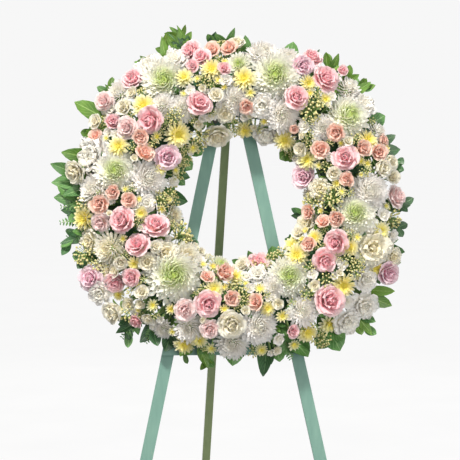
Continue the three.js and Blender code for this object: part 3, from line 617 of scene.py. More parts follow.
TONES = {
    Tone.PINK: PetalFinish(
        "petal_pink", (0.94, 0.77, 0.56), (0.98, 0.51, 0.56), (0.99, 0.77, 0.78), (0.91, 0.22, 0.32), 0.8),
    Tone.BLUSH: PetalFinish(
        "petal_blush", (0.92, 0.82, 0.62), (0.97, 0.74, 0.72), (0.98, 0.86, 0.84), (0.93, 0.43, 0.44), 0.75),
    Tone.PEACH: PetalFinish(
        "petal_peach", (0.90, 0.74, 0.42), (0.97, 0.57, 0.44), (0.99, 0.75, 0.63), (0.92, 0.33, 0.24), 0.8),
    Tone.LILAC: PetalFinish(
        "petal_lilac", (0.91, 0.76, 0.68), (0.94, 0.59, 0.71), (0.97, 0.79, 0.85), (0.87, 0.31, 0.47), 0.75),
    Tone.GREEN_HEART: PetalFinish(
        "petal_green_heart", (0.66, 0.76, 0.24), (0.95, 0.95, 0.78), (0.99, 0.98, 0.92), (0.58, 0.76, 0.08),
        0.9),
    Tone.WHITE: PetalFinish(
        "petal_white", (0.85, 0.81, 0.62), (0.98, 0.94, 0.90), (0.99, 0.97, 0.96), (0.95, 0.92, 0.74), 0.7),
    Tone.CREAM: PetalFinish(
        "petal_cream", (0.76, 0.76, 0.40), (0.94, 0.90, 0.72), (0.97, 0.95, 0.87), (0.92, 0.80, 0.44), 0.8),
    Tone.YELLOW: PetalFinish(
        "petal_yellow", (0.88, 0.68, 0.03), (0.96, 0.88, 0.32), (0.98, 0.96, 0.76), (0.90, 0.72, 0.04), 0.7),
    Tone.LEMON: PetalFinish(
        "petal_lemon", (0.86, 0.76, 0.10), (0.95, 0.92, 0.50), (0.97, 0.97, 0.86), (0.90, 0.78, 0.08), 0.8),
    Tone.LIME: PetalFinish(
        "petal_lime", (0.24, 0.27, 0.05), (0.62, 0.58, 0.22), (0.86, 0.82, 0.50), (0.52, 0.48, 0.13)),
}
SEPAL = LeafFinish("sepal_green", (0.10, 0.22, 0.05), (0.26, 0.42, 0.11), (0.42, 0.55, 0.24), 0.5)
LEAVES = {
    Green.DEEP: LeafFinish("leaf_deep", (0.012, 0.05, 0.018), (0.045, 0.14, 0.045), (0.12, 0.25, 0.10)),
    Green.MID: LeafFinish("leaf_mid", (0.035, 0.13, 0.03), (0.12, 0.28, 0.07), (0.24, 0.42, 0.16)),
    Green.FRESH: LeafFinish("leaf_fresh", (0.05, 0.14, 0.015), (0.14, 0.28, 0.03), (0.28, 0.44, 0.12)),
}
DISC = PetalFinish(
    "daisy_disc", (0.60, 0.42, 0.02), (0.84, 0.64, 0.04), (0.90, 0.76, 0.12), (0.58, 0.56, 0.06))


@dataclass
class MeshStore:
    """Gathers closed skins into one mesh, with a material slot for each finish and marks on its points."""

    points: list[np.ndarray] = field(default_factory=list)
    faces: list[np.ndarray] = field(default_factory=list)
    slots: list[np.ndarray] = field(default_factory=list)
    marks: list[np.ndarray] = field(default_factory=list)
    finishes: list[Finish] = field(default_factory=list)
    total: int = 0

    MARKS = ("along", "across", "layer", "tint")
    SHARP = math.radians(55)

    def add(self, points: np.ndarray, faces: list[np.ndarray], finish: Finish, marks: np.ndarray) -> None:
        """Adds copies of one skin.

        Args:
            points: copies by points by 3, in the frame's metres.
            faces: index arrays of one copy, each of triangles or of quads.
            finish: what the skin is dressed in.
            marks: copies by points by 4: along, across, layer and tint.
        """
        copies, each = points.shape[:2]
        if finish not in self.finishes:
            self.finishes.append(finish)
        starts = self.total + each * np.arange(copies)
        for group in faces:
            self.faces.append((starts[:, None, None] + group[None]).reshape(-1, group.shape[1]))
            self.slots.append(np.full(copies * len(group), self.finishes.index(finish)))
        self.points.append(points.reshape(-1, 3))
        self.marks.append(marks.reshape(-1, 4))
        self.total += copies * each

    def make(self, name: str) -> bpy.types.Object:
        """Makes the object.

        Args:
            name: the piece's name.

        Returns:
            A mesh object at the origin, with its place in its mesh.
        """
        mesh = bpy.data.meshes.new(name)
        sizes = np.concatenate([np.full(len(group), group.shape[1]) for group in self.faces])
        loops = np.concatenate([group.reshape(-1) for group in self.faces])
        mesh.vertices.add(self.total)
        mesh.vertices.foreach_set("co", np.concatenate(self.points).astype(np.float32).reshape(-1))
        mesh.loops.add(len(loops))
        mesh.loops.foreach_set("vertex_index", loops.astype(np.int32))
        mesh.polygons.add(len(sizes))
        mesh.polygons.foreach_set("loop_start", np.concatenate([[0], np.cumsum(sizes)[:-1]]).astype(np.int32))
        mesh.polygons.foreach_set("material_index", np.concatenate(self.slots).astype(np.int32))
        mesh.update(calc_edges=True)
        mesh.shade_smooth()
        mesh.set_sharp_from_angle(angle=self.SHARP)
        for mark, values in zip(self.MARKS, np.concatenate(self.marks).astype(np.float32).T):
            attribute = mesh.attributes.new(mark, "FLOAT", "POINT")
            attribute.data.foreach_set("value", np.ascontiguousarray(values))
        for finish in self.finishes:
            mesh.materials.append(finish.material())
        piece = bpy.data.objects.new(name, mesh)
        bpy.context.scene.collection.objects.link(piece)
        LOG.info("%s: %d points, %d triangles", name, self.total, int((sizes - 2).sum()))
        return piece

    def plant(self, name: str, slot: str, owner: str = "") -> None:
        """Makes the piece, hangs it on the easel's body and hides the node that it replaces.

        Args:
            name: the piece's name.
            slot: the record's material slot; not used.
            owner: the node that it replaces, if there is one.
        """
        piece = self.make(name)
        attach(piece, "easel")
        if owner:
            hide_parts(owner)


def circle(sides: int) -> np.ndarray:
    """The cosine and sine of even steps round a circle, 2 pi k / sides."""
    turn = TURN * np.arange(sides) / sides
    return np.stack([np.cos(turn), np.sin(turn)], axis=-1)


def sheet_faces(across: int, along: int) -> list[np.ndarray]:
    """Faces of a thin closed blade: its outer grid, its inner grid turned over, and the rim between them.

    Args:
        across: points across a grid.
        along: points along it.

    Returns:
        One array of quads, on points ordered as the outer grid and then the inner one.
    """
    shift = across * along
    index = np.arange(shift).reshape(across, along)
    corners = [index[:-1, :-1], index[1:, :-1], index[1:, 1:], index[:-1, 1:]]
    front = np.stack(corners, axis=-1).reshape(-1, 4)
    back = np.stack([corners[turn] for turn in (0, 3, 2, 1)], axis=-1).reshape(-1, 4) + shift
    loop = np.concatenate([index[:, 0], index[-1, 1:], index[-2::-1, -1], index[0, -2:0:-1]])
    following = np.roll(loop, -1)
    rim = np.stack([following, loop, loop + shift, following + shift], axis=-1)
    return [np.concatenate([front, back, rim])]


def thickened(grid: np.ndarray, thickness: np.ndarray) -> np.ndarray:
    """Gives blades their thickness.

    Args:
        grid: copies by across by along by 3.
        thickness: each copy's thickness.

    Returns:
        Copies by points by 3: each grid moved half the thickness along its normals, and then half against
        them, times (1 - 0.55 |u|^3) * (1 - 0.5 v^4), so it thins towards the rim. A normal is the cross
        product of the steps across and along.
    """
    normal = np.cross(np.gradient(grid, axis=1), np.gradient(grid, axis=2))
    normal = normal / np.maximum(np.linalg.norm(normal, axis=-1, keepdims=True), 1e-12)
    across, along = grid.shape[1:3]
    edge = 1 - 0.55 * np.abs(np.linspace(-1, 1, across))[:, None] ** 3 * np.ones(along)
    edge = edge * (1 - 0.5 * np.linspace(0, 1, along)[None, :] ** 4)
    half = 0.5 * thickness[:, None, None, None] * edge[None, :, :, None] * normal
    return np.concatenate([side.reshape(len(grid), -1, 3) for side in (grid + half, grid - half)], axis=1)


def blade_marks(along: np.ndarray, across: int, layer: np.ndarray, tint: np.ndarray) -> np.ndarray:
    """Marks of thin closed blades, for both their faces.

    Args:
        along: the place along a blade of each of its rows, from 0 to 1.
        across: points across it.
        layer: each copy's layer, from 0 at the heart to 1.
        tint: each copy's tint.

    Returns:
        Copies by points by 4: along, across, layer and tint.
    """
    shape = (len(tint), across, len(along))
    u = np.linspace(-1, 1, across)[None, :, None]
    parts = [along[None, None, :], u, layer[:, None, None], tint[:, None, None]]
    face = np.stack([np.broadcast_to(part, shape) for part in parts], axis=-1).reshape(len(tint), -1, 4)
    return np.concatenate([face, face], axis=1)


def turned_faces(rings: int, sides: int) -> list[np.ndarray]:
    """Faces of a skin over rings of points from a first pole to a last one, facing out.

    Args:
        rings: how many rings there are between the poles.
        sides: points round a ring.

    Returns:
        The quads between the rings, and the triangles at the poles.
    """
    step = np.arange(sides)
    ring = 1 + sides * np.arange(rings)[:, None]
    here, there = ring + step, ring + (step + 1) % sides
    quads = np.stack([here[:-1], there[:-1], there[1:], here[1:]], axis=-1).reshape(-1, 4)
    foot = np.stack([np.zeros(sides, int), there[0], here[0]], axis=-1)
    crown = np.stack([here[-1], there[-1], np.full(sides, 1 + sides * rings)], axis=-1)
    return [quads, np.concatenate([foot, crown])]


def turned_points(profile: np.ndarray, poles: tuple[float, float], sides: int) -> np.ndarray:
    """Points of a skin turned round an axis.

    Args:
        profile: each ring's radius and height.
        poles: the heights of the first and the last point.
        sides: points round a ring.

    Returns:
        Points by 3: the first pole, radius * cos, radius * sin and height round each ring, the last pole.
    """
    around = profile[:, None, :1] * circle(sides)
    height = np.broadcast_to(profile[:, None, 1:], (len(profile), sides, 1))
    rings = np.concatenate([around, height], axis=-1).reshape(-1, 3)
    return np.concatenate([[[0, 0, poles[0]]], rings, [[0, 0, poles[1]]]])


def frames_along(direction: np.ndarray) -> np.ndarray:
    """Turns unit directions into frames.

    Args:
        direction: any number of unit vectors.

    Returns:
        A 3 by 3 frame for each, whose last row is the direction.
    """
    helper = np.where(np.abs(direction[..., 2:3]) < 0.9, np.array([0.0, 0.0, 1.0]), np.array([1.0, 0.0, 0.0]))
    side = unit(np.cross(helper, direction))
    return np.stack([side, np.cross(direction, side), direction], axis=-2)


def tubes(path: np.ndarray, direction: np.ndarray, radius: float, sides: int) -> np.ndarray:
    """Points of thin round tubes with closed ends.

    Args:
        path: copies by rings by 3.
        direction: unit vectors, copies by rings by 3, or by 1 by 3 for a tube whose rings are parallel.
        radius: the tubes' radius.
        sides: points round a ring.

    Returns:
        Copies by points by 3: the path's start, a circle across the direction at each ring, and its end.
    """
    rings = path[:, :, None, :] + radius * (circle(sides) @ frames_along(direction)[..., :2, :])
    return np.concatenate([path[:, :1], rings.reshape(len(path), -1, 3), path[:, -1:]], axis=1)


@dataclass(frozen=True)
class Layer:
    """A ring of petals in one kind of head. Lengths are in radii of the head."""

    count: int
    length: float
    width: float
    start: float
    end: float
    lip: float = 0.0
    foot: float = 0.05
    height: float = -0.45
    cup: float = 0.5
    ruffle: float = 0.0
    wander: float = 0.06
    thick: float = 0.02
    blunt: float = 6.0


@dataclass
class PetalBatch:
    """Petals of one head, worked out together as arrays of one value for each petal."""

    across: int
    along: int
    values: dict[str, np.ndarray]

    def rows(self) -> np.ndarray:
        """Each row's place along a petal, v = 1 - (1 - step)^1.5, which is closer towards the tip."""
        return 1 - (1 - np.linspace(0, 1, self.along)) ** 1.5

    def grid(self) -> np.ndarray:
        """The petals' middle surfaces in their head's own frame, in radii of the head.

        Returns:
            Copies by across by along by 3. The middle line leaves the axis at radius foot and height and
            turns from the angle start to end, and by lip near its tip. Its points are sums of short steps.
            The blade's half-width is width / 2 * v^0.5 * (1 - v^blunt)^0.5. Each row across is an arc of
            radius cup, lifted by the ruffle, by a twist that lets each petal overlap the next, and rolled
            back at its edges.
        """
        value = {name: array[:, None] for name, array in self.values.items()}
        v = self.rows()[None, :]
        angle = value["start"] + (value["end"] - value["start"]) * v + value["lip"] * v**5
        middle = (angle[:, 1:] + angle[:, :-1]) / 2
        move = value["length"] * np.diff(v, axis=1)
        nought = np.zeros((len(angle), 1))
        radius = value["foot"] + np.concatenate([nought, np.cumsum(np.sin(middle) * move, axis=1)], axis=1)
        height = value["height"] + np.concatenate([nought, np.cumsum(np.cos(middle) * move, axis=1)], axis=1)
        half = value["width"] / 2 * np.maximum(np.sqrt(v) * np.sqrt(1 - v ** value["blunt"]), 0.14)
        u = np.linspace(-1, 1, self.across)[None, :, None]
        spread = {name: array[:, :, None] for name, array in value.items()}
        arc = u * (half / value["cup"])[:, None, :]
        side = np.sin(arc) * spread["cup"]
        wave = np.sin(3.1 * math.pi * u * spread["waves"] + spread["phase"]) * spread["ruffle"]
        twist = 0.07 * spread["length"] * u * (v * (1 - 0.3 * v))[:, None, :]
        lift = (1 - np.cos(arc)) * spread["cup"] + wave * v[:, None, :] ** 3 + twist
        lift = lift - spread["roll"] * np.abs(u) ** 3 * v[:, None, :] ** 2
        out = radius[:, None, :] - lift * np.cos(angle)[:, None, :]
        up = height[:, None, :] + lift * np.sin(angle)[:, None, :]
        cosine, sine = np.cos(spread["turn"]), np.sin(spread["turn"])
        return np.stack([out * cosine - side * sine, out * sine + side * cosine, up], axis=-1)

    def marks(self) -> np.ndarray:
        """Along, across, layer and tint of every point, for both faces of the blades."""
        return blade_marks(self.rows(), self.across, self.values["depth"], self.values["tint"])


@dataclass
class Head:
    """One flower head in its place on the ring. A head at the rim stands as far out as it was measured."""

    kind: Kind
    tone: Tone
    right: float
    up: float
    width: float
    rng: np.random.Generator
    open: float = 1.0
    small: bool = False
    plane: RingPlane = PLANE

    LIFTS = {
        Kind.ROSE: 8, Kind.SPRAY: 7, Kind.LARGE_MUM: 0, Kind.MUM: 1, Kind.FRILL: 2, Kind.DAISY: 3,
        Kind.BUDS: 5,
    }
    FULLNESS = {
        Kind.ROSE: 1.14, Kind.SPRAY: 1.16, Kind.LARGE_MUM: 1.26, Kind.MUM: 1.44, Kind.FRILL: 1.34,
        Kind.DAISY: 1.24, Kind.BUDS: 1.4,
    }
    WANDERS = {Kind.ROSE: 0.24, Kind.SPRAY: 0.26}
    WANDER = 0.10
    TURNED = 0.55
    STEEPEST = 0.97
    SUNK = 0.06

    def __post_init__(self) -> None:
        """Works out the head's place, its facing with a little wander, and its size in millimetres."""
        self.angle = math.atan2(self.right, self.up)
        plane = self.plane
        far = math.hypot(self.right, self.up)
        self.tilt = math.asin(min(max((far - plane.ring) / plane.out, -self.STEEPEST), self.STEEPEST))
        lift = self.LIFTS[self.kind] - self.width * self.SUNK
        self.place = plane.on_ring(self.angle, self.tilt, plane.out + lift, plane.forward + lift)
        if self.tilt > 0:
            self.place[:2] *= max(far / math.hypot(*self.place[:2]), 1)
        wander = self.rng.normal(0, self.WANDERS.get(self.kind, self.WANDER), 3)
        self.facing = unit(plane.normal(self.angle, self.tilt * self.TURNED) + wander)
        self.size = self.width / 2 * self.FULLNESS[self.kind]

    def fit(self, grid: np.ndarray) -> None:
        """Sizes the head so that its widest petal reaches its measured radius: radius / widest distance."""
        self.size /= np.sqrt(grid[..., 0] ** 2 + grid[..., 1] ** 2).max()

    def to_frame(self, points: np.ndarray) -> np.ndarray:
        """Points in radii of the head, in its own frame, as metres in the object's frame."""
        return self.plane.to_frame(self.place + (points * self.size) @ frames_along(self.facing))


class Florist:
    """Makes the heads of each kind, petal by petal, and adds them to a mesh store. The SMALL_ tables are
    for the florets that fill gaps. A grid is the points across and along a petal."""

    GOLDEN = math.pi * (3 - math.sqrt(5))
    LAYERS = {
        Kind.ROSE: [
            Layer(3, 0.88, 0.54, 0.16, -0.44, 0.0, 0.03, -0.38, 0.14),
            Layer(4, 0.94, 0.70, 0.34, -0.46, 0.1, 0.04, -0.40, 0.23),
            Layer(5, 0.99, 0.88, 0.58, -0.40, 0.3, 0.05, -0.42, 0.35),
            Layer(5, 1.04, 1.04, 0.86, -0.22, 0.9, 0.06, -0.45, 0.50),
            Layer(5, 1.08, 1.20, 1.14, 0.10, 1.3, 0.07, -0.48, 0.70),
            Layer(6, 1.04, 1.30, 1.40, 0.66, 1.2, 0.08, -0.50, 0.95),
        ],
        Kind.SPRAY: [
            Layer(3, 0.84, 0.60, 0.22, -0.42, 0.0, 0.04, -0.42, 0.18),
            Layer(4, 0.96, 0.88, 0.54, -0.38, 0.2, 0.05, -0.45, 0.35),
            Layer(5, 1.04, 1.14, 0.92, -0.14, 0.9, 0.07, -0.48, 0.55),
            Layer(6, 1.06, 1.30, 1.26, 0.50, 1.1, 0.08, -0.50, 0.85),
        ],
        Kind.FRILL: [
            Layer(4, 0.56, 0.54, 0.30, -0.30, 0.0, 0.04, -0.26, 0.26, 0.05),
            Layer(5, 0.74, 0.76, 0.60, 0.05, 0.4, 0.05, -0.30, 0.48, 0.07),
            Layer(6, 0.88, 0.90, 0.90, 0.45, 0.5, 0.06, -0.33, 0.75, 0.08),
            Layer(7, 1.00, 1.00, 1.20, 0.90, 0.4, 0.07, -0.36, 1.20, 0.09),
        ],
        Kind.DAISY: [
            Layer(13, 0.56, 0.24, 0.70, 0.80, 0.3, 0.14, 0.00, 0.3, 0.0, 0.08, 0.025, 7.0),
            Layer(16, 0.72, 0.26, 1.02, 1.10, 0.3, 0.16, -0.06, 0.4, 0.0, 0.08, 0.025, 7.0),
            Layer(19, 0.84, 0.27, 1.34, 1.52, 0.3, 0.17, -0.14, 0.5, 0.0, 0.06, 0.025, 7.0),
        ],
    }
    FULL_FRILL = [
        Layer(5, 0.40, 0.46, 0.20, -0.30, 0.0, 0.03, -0.22, 0.22, 0.05),
        Layer(7, 0.55, 0.56, 0.42, -0.10, 0.3, 0.04, -0.26, 0.36, 0.06),
        Layer(9, 0.70, 0.62, 0.66, 0.15, 0.4, 0.05, -0.29, 0.55, 0.07),
        Layer(10, 0.84, 0.68, 0.90, 0.45, 0.5, 0.06, -0.32, 0.80, 0.08),
        Layer(11, 1.00, 0.74, 1.20, 0.90, 0.4, 0.07, -0.36, 1.15, 0.09),
    ]
    GRID = {Kind.ROSE: (5, 6), Kind.SPRAY: (4, 6), Kind.FRILL: (8, 5), Kind.DAISY: (3, 4)}
    SMALL_LAYERS = {
        Kind.SPRAY: [
            Layer(3, 0.84, 0.66, 0.24, -0.42, 0.0, 0.04, -0.42, 0.2),
            Layer(4, 0.98, 0.98, 0.70, -0.20, 0.5, 0.06, -0.46, 0.42),
            Layer(5, 1.05, 1.28, 1.15, 0.40, 1.0, 0.08, -0.50, 0.8),
        ],
        Kind.FRILL: [
            Layer(4, 0.70, 0.74, 0.50, 0.00, 0.3, 0.05, -0.28, 0.45, 0.07),
            Layer(7, 0.98, 0.98, 1.12, 0.80, 0.4, 0.07, -0.34, 1.00, 0.10),
        ],
        Kind.DAISY: [
            Layer(9, 0.60, 0.32, 0.90, 1.00, 0.3, 0.14, -0.02, 0.4, 0.0, 0.08, 0.03, 7.0),
            Layer(12, 0.84, 0.36, 1.34, 1.52, 0.3, 0.16, -0.12, 0.5, 0.0, 0.06, 0.03, 7.0),
        ],
    }
    SMALL_GRID = {Kind.SPRAY: (4, 4), Kind.FRILL: (5, 4), Kind.DAISY: (3, 3)}
    POMPON = {Kind.LARGE_MUM: 216, Kind.MUM: 132}
    POMPON_GRID = (3, 4)
    BUDS = {False: 44, True: 20}
    FULL_FROM = 70
    DISC_FLORETS = 22
    DISC_PROFILE = np.array([[0.22, -0.08], [0.27, 0.0], [0.22, 0.06], [0.12, 0.10]])
    BUD_PROFILE = np.array([[0.62, -0.75], [1.0, -0.05], [0.66, 0.75]])
    BUD_POLES = (-1.05, 1.25)
    CUP_PROFILE = np.array([[0.06, -0.62], [0.15, -0.52], [0.19, -0.40], [0.12, -0.30]])
    SEPALS = {
        "length": 0.62, "width": 0.24, "start": 1.0, "end": 1.5, "lip": 0.8, "foot": 0.12, "height": -0.48,
        "cup": 0.3, "ruffle": 0.02, "waves": 1.0, "roll": 0.0, "blunt": 1.6, "phase": 0.0, "depth": 1.0,
    }
    SEPAL_GRID = (3, 4)
    SPRAY_FOOT = np.array([0.0, 0.0, -0.75])
    STEM_RADIUS = 1.6
    ROOT = (34, 14)

    def __init__(self, rng: np.random.Generator) -> None:
        """Keeps the draw that every head takes its small differences from."""
        self.rng = rng

    def add(self, store: MeshStore, head: Head) -> None:
        """Adds one head, its calyx and its stem.

        Args:
            store: where they go.
            head: the head.
        """
        if head.kind in self.POMPON:
            self.pompon(store, head)
        elif head.kind is Kind.BUDS:
            self.bud_spray(store, head)
        else:
            self.layered(store, head)
            if head.kind is Kind.DAISY:
                self.disc(store, head)
        self.calyx(store, head)

    def petals(
        self, store: MeshStore, head: Head, values: dict, grid: tuple[int, int], thick: np.ndarray
    ) -> None:
        """Adds petals to a store.

        Args:
            store: where they go.
            head: the head that they are on.
            values: the batch's value for each petal.
            grid: points across and along.
            thick: each petal's thickness, in radii.
        """
        batch = PetalBatch(*grid, values)
        middle = batch.grid()
        head.fit(middle)
        skins = thickened(middle, thick)
        store.add(head.to_frame(skins), sheet_faces(*grid), TONES[head.tone], batch.marks())

    def layered(self, store: MeshStore, head: Head) -> None:
        """A head of petal layers, each layer turned against the last and every petal a little its own.

        Args:
            store: where it goes.
            head: a rose, spray rose, frilled flower or daisy.
        """
        layers = (self.SMALL_LAYERS if head.small else self.LAYERS)[head.kind]
        if head.kind is Kind.FRILL and head.width > self.FULL_FROM:
            layers = self.FULL_FRILL
        counts = [layer.count for layer in layers]
        count = sum(counts)
        spread = {
            item.name: np.repeat([getattr(layer, item.name) for layer in layers], counts)
            for item in fields(Layer)
        }
        rng = self.rng
        place = np.concatenate([np.arange(number) / number for number in counts])
        order = np.repeat(np.arange(len(layers)), counts)
        wander = spread["wander"]
        values = {
            "length": spread["length"] * (1 + rng.normal(0, wander)),
            "width": spread["width"] * (1 + rng.normal(0, wander)),
            "start": spread["start"] * head.open + rng.normal(0, wander),
            "end": spread["end"] * head.open - (1 - head.open) * 0.5 + rng.normal(0, wander * 1.5),
            "lip": spread["lip"] * head.open * (1 + rng.normal(0, 0.3, count)),
            "foot": spread["foot"],
            "height": spread["height"] + 0.01 * np.arange(count) / count,
            "cup": spread["cup"] * (1 + rng.normal(0, 0.05, count)),
            "ruffle": spread["ruffle"] * (1 + rng.normal(0, 0.3, count)),
            "waves": rng.uniform(1.1, 1.6, count),
            "phase": rng.uniform(0, TURN, count),
            "roll": np.where(order >= len(layers) - 3, 0.10, 0.02) * (head.kind is not Kind.DAISY),
            "blunt": spread["blunt"],
            "turn": TURN * (place + 0.38 * order) + rng.normal(0, 0.08, count),
            "depth": (order + 0.5) / len(layers),
            "tint": rng.uniform(0, 1, count),
        }
        grid = (self.SMALL_GRID if head.small else self.GRID)[head.kind]
        self.petals(store, head, values, grid, spread["thick"])

    def pompon(self, store: MeshStore, head: Head) -> None:
        """A pompon head: strap petals in a golden-angle spiral over a dome. For petal i of n and t = i / n,
        the foot lies at radius 0.03 + 0.42 * t and the petal leans 0.12 + 1.45 * t from the axis.

        Args:
            store: where it goes.
            head: the head.
        """
        count = self.POMPON[head.kind]
        t = (np.arange(count) + 0.5) / count
        rng = self.rng
        lean = 0.12 + 1.45 * t
        values = {
            "length": (0.26 + 0.38 * t**0.8) * (1 + rng.normal(0, 0.08, count)),
            "width": 0.12 + 0.125 * t,
            "start": lean + 0.30 + rng.normal(0, 0.08, count),
            "end": lean - 0.42 + 0.30 * t + rng.normal(0, 0.16, count),
            "lip": rng.uniform(-1.1, -0.2, count),
            "foot": 0.03 + 0.42 * t,
            "height": 0.12 - 0.42 * t**1.6,
            "cup": 0.10 + 0.05 * t,
            "blunt": np.full(count, 5.0),
            "turn": self.GOLDEN * np.arange(count),
            "depth": np.clip(t * 1.7, 0, 1),
            "tint": rng.uniform(0, 1, count),
        }
        values |= {name: np.zeros(count) for name in ("ruffle", "waves", "phase", "roll")}
        self.petals(store, head, values, self.POMPON_GRID, np.full(count, 0.020))

    def disc(self, store: MeshStore, head: Head) -> None:
        """A daisy's disc: a dome, with small florets in a golden-angle spiral over it on a full-sized head.

        Args:
            store: where it goes.
            head: the daisy.
        """
        if not head.small:
            index = np.arange(self.DISC_FLORETS)
            radius = 0.25 * np.sqrt((index + 0.5) / self.DISC_FLORETS)
            turn = self.GOLDEN * index
            height = 0.12 - 1.3 * radius**2
            centres = polar(math.pi / 2 - turn, radius, height)
            self.knobs(store, head, centres, 0.052, DISC, (0.0, 0.0, 1.0))
        self.turned(store, head, self.DISC_PROFILE, (-0.12, 0.115), 8 if head.small else 12, DISC)

    def turned(
        self, store: MeshStore, head: Head, profile: np.ndarray, poles: tuple[float, float], sides: int,
        finish: Finish,
    ) -> None:
        """A shape turned round the head's axis.

        Args:
            store: where it goes.
            head: the head that it is on.
            profile: each ring's radius and height, in radii of the head.
            poles: the heights of its two ends.
            sides: points round a ring.
            finish: what it is dressed in.
        """
        points = turned_points(profile, poles, sides)
        marks = np.zeros((1, len(points), 4))
        marks[0, :, 0] = np.linspace(0, 1, len(points))
        marks[0, :, 2:] = 0.5
        store.add(head.to_frame(points)[None], turned_faces(len(profile), sides), finish, marks)

    def knobs(
        self, store: MeshStore, head: Head, centres: np.ndarray, radius: float | np.ndarray, finish: Finish,
        facing: tuple | np.ndarray, sides: int = 5,
    ) -> None:
        """Small egg-shaped buds at given places.

        Args:
            store: where they go.
            head: the head that they are on.
            centres: copies by 3, in radii of the head.
            radius: one radius, or one for each bud.
            finish: what they are dressed in.
            facing: one direction, or one for each bud.
            sides: points round each bud.
        """
        copies = len(centres)
        egg = turned_points(self.BUD_PROFILE, self.BUD_POLES, sides)
        direction = unit(np.broadcast_to(np.asarray(facing, float), (copies, 3)))
        scale = np.broadcast_to(np.asarray(radius, float), (copies,))[:, None, None]
        points = centres[:, None, :] + scale * (egg[None] @ frames_along(direction))
        low, high = self.BUD_POLES
        marks = np.zeros((copies, len(egg), 4))
        marks[:, :, 0] = (egg[:, 2] - low) / (high - low)
        marks[:, :, 2] = 0.6
        marks[:, :, 3] = self.rng.uniform(0, 1, copies)[:, None]
        store.add(head.to_frame(points), turned_faces(len(self.BUD_PROFILE), sides), finish, marks)

    def bud_spray(self, store: MeshStore, head: Head) -> None:
        """A spray of tiny buds on thin stalks that fan from one foot: bud i of n stands at radius
        sqrt(i / n) and turn i times the golden angle, on a dome 0.45 - 0.55 * radius^2 high.

        Args:
            store: where it goes.
            head: the spray.
        """
        count = self.BUDS[head.small]
        rng = self.rng
        spread = np.sqrt((np.arange(count) + 0.5) / count) + rng.normal(0, 0.05, count)
        turn = self.GOLDEN * np.arange(count) + rng.normal(0, 0.2, count)
        height = 0.45 - 0.55 * spread**2 + rng.normal(0, 0.12, count)
        tops = polar(math.pi / 2 - turn, spread, height)
        radius = rng.uniform(0.07, 0.13, count) * (1.3 if head.small else 1.0)
        stalk = tops - self.SPRAY_FOOT
        self.knobs(store, head, tops, radius, TONES[head.tone], stalk + rng.normal(0, 0.3, (count, 3)))
        self.stalks(store, head, np.broadcast_to(self.SPRAY_FOOT, (count, 3)), tops - 0.1 * stalk, 0.028)

    def stalks(
        self, store: MeshStore, head: Head, starts: np.ndarray, ends: np.ndarray, radius: float
    ) -> None:
        """Thin green stalks, bowed a little: start * (1 - t) + end * t, raised by 0.05 * sin(pi * t).

        Args:
            store: where they go.
            head: the head that they are on.
            starts: copies by 3, in radii of the head.
            ends: the same.
            radius: the stalks' radius, in radii of the head.
        """
        sides, rings = 4, 3
        t = np.linspace(0.0, 1.0, rings)[None, :, None]
        path = starts[:, None, :] * (1 - t) + ends[:, None, :] * t
        path = path + np.sin(math.pi * t) * np.array([0.0, 0.0, 0.05])
        points = tubes(path, unit(ends - starts)[:, None], radius, sides)
        marks = np.full((*points.shape[:2], 4), 0.5)
        store.add(head.to_frame(points), turned_faces(rings, sides), SEPAL, marks)

    def calyx(self, store: MeshStore, head: Head) -> None:
        """The stem down to the foam, and under a full-sized flower its green cup and five sepals.

        Args:
            store: where they go.
            head: the head that they are under.
        """
        if head.kind is not Kind.BUDS and not head.small:
            self.turned(store, head, self.CUP_PROFILE, (-0.66, -0.28), 8, SEPAL)
            count = 5
            values = {name: np.full(count, number) for name, number in self.SEPALS.items()}
            values["turn"] = TURN * (np.arange(count) / count + self.rng.uniform(0, 1))
            values["tint"] = self.rng.uniform(0, 1, count)
            batch = PetalBatch(*self.SEPAL_GRID, values)
            skins = thickened(batch.grid(), np.full(count, 0.03))
            store.add(head.to_frame(skins), sheet_faces(*self.SEPAL_GRID), SEPAL, batch.marks())
        root = head.plane.on_ring(head.angle, head.tilt, *self.ROOT)
        local = (root - head.place) @ frames_along(head.facing).T / head.size
        self.stalks(store, head, local[None], np.array([[0.0, 0.0, -0.55]]), self.STEM_RADIUS / head.size)


@dataclass
class FlowerBed:
    """All the heads of one colour, in pieces that stand for the nodes they replace."""

    bed: Bed
    seed: int

    def heads(self, rng: np.random.Generator) -> dict[str, list[Head]]:
        """The bed's heads, each with the node of its stretch of the ring.

        Args:
            rng: the bed's draw.

        Returns:
            The heads by their node. The nodes are equal stretches of the ring from just left of the top.
        """
        count = BED_NODES[self.bed]
        found: dict[str, list[Head]] = {f"{self.bed.value}_{index + 1:02d}": [] for index in range(count)}
        for kind, tone, places in PLANTING[self.bed]:
            for right, up, width in places:
                turn = (math.atan2(right, up) / TURN + SECTOR_START) % 1
                owner = f"{self.bed.value}_{int(turn * count) + 1:02d}"
                openness = rng.uniform(0.72, 0.98) if kind is Kind.ROSE else rng.uniform(0.58, 0.86)
                if kind in (Kind.DAISY, Kind.FRILL):
                    openness = 1.0
                found[owner].append(Head(kind, tone, right, up, width, rng, openness))
        return found

    def build(self) -> None:
        """Makes a piece for each node of the bed."""
        rng = np.random.default_rng(self.seed)
        florist = Florist(rng)
        for owner, heads in self.heads(rng).items():
            store = MeshStore()
            for head in heads:
                florist.add(store, head)
            store.plant(f"{owner}_petals", BED_SLOTS[self.bed], owner)


@dataclass(frozen=True)
class Blade:
    """A leaf's place in the plane, in millimetres: its foot, direction, size and how far its tip rises."""

    foot: np.ndarray
    heading: np.ndarray
    length: float
    width: float
    rise: float
    green: Green


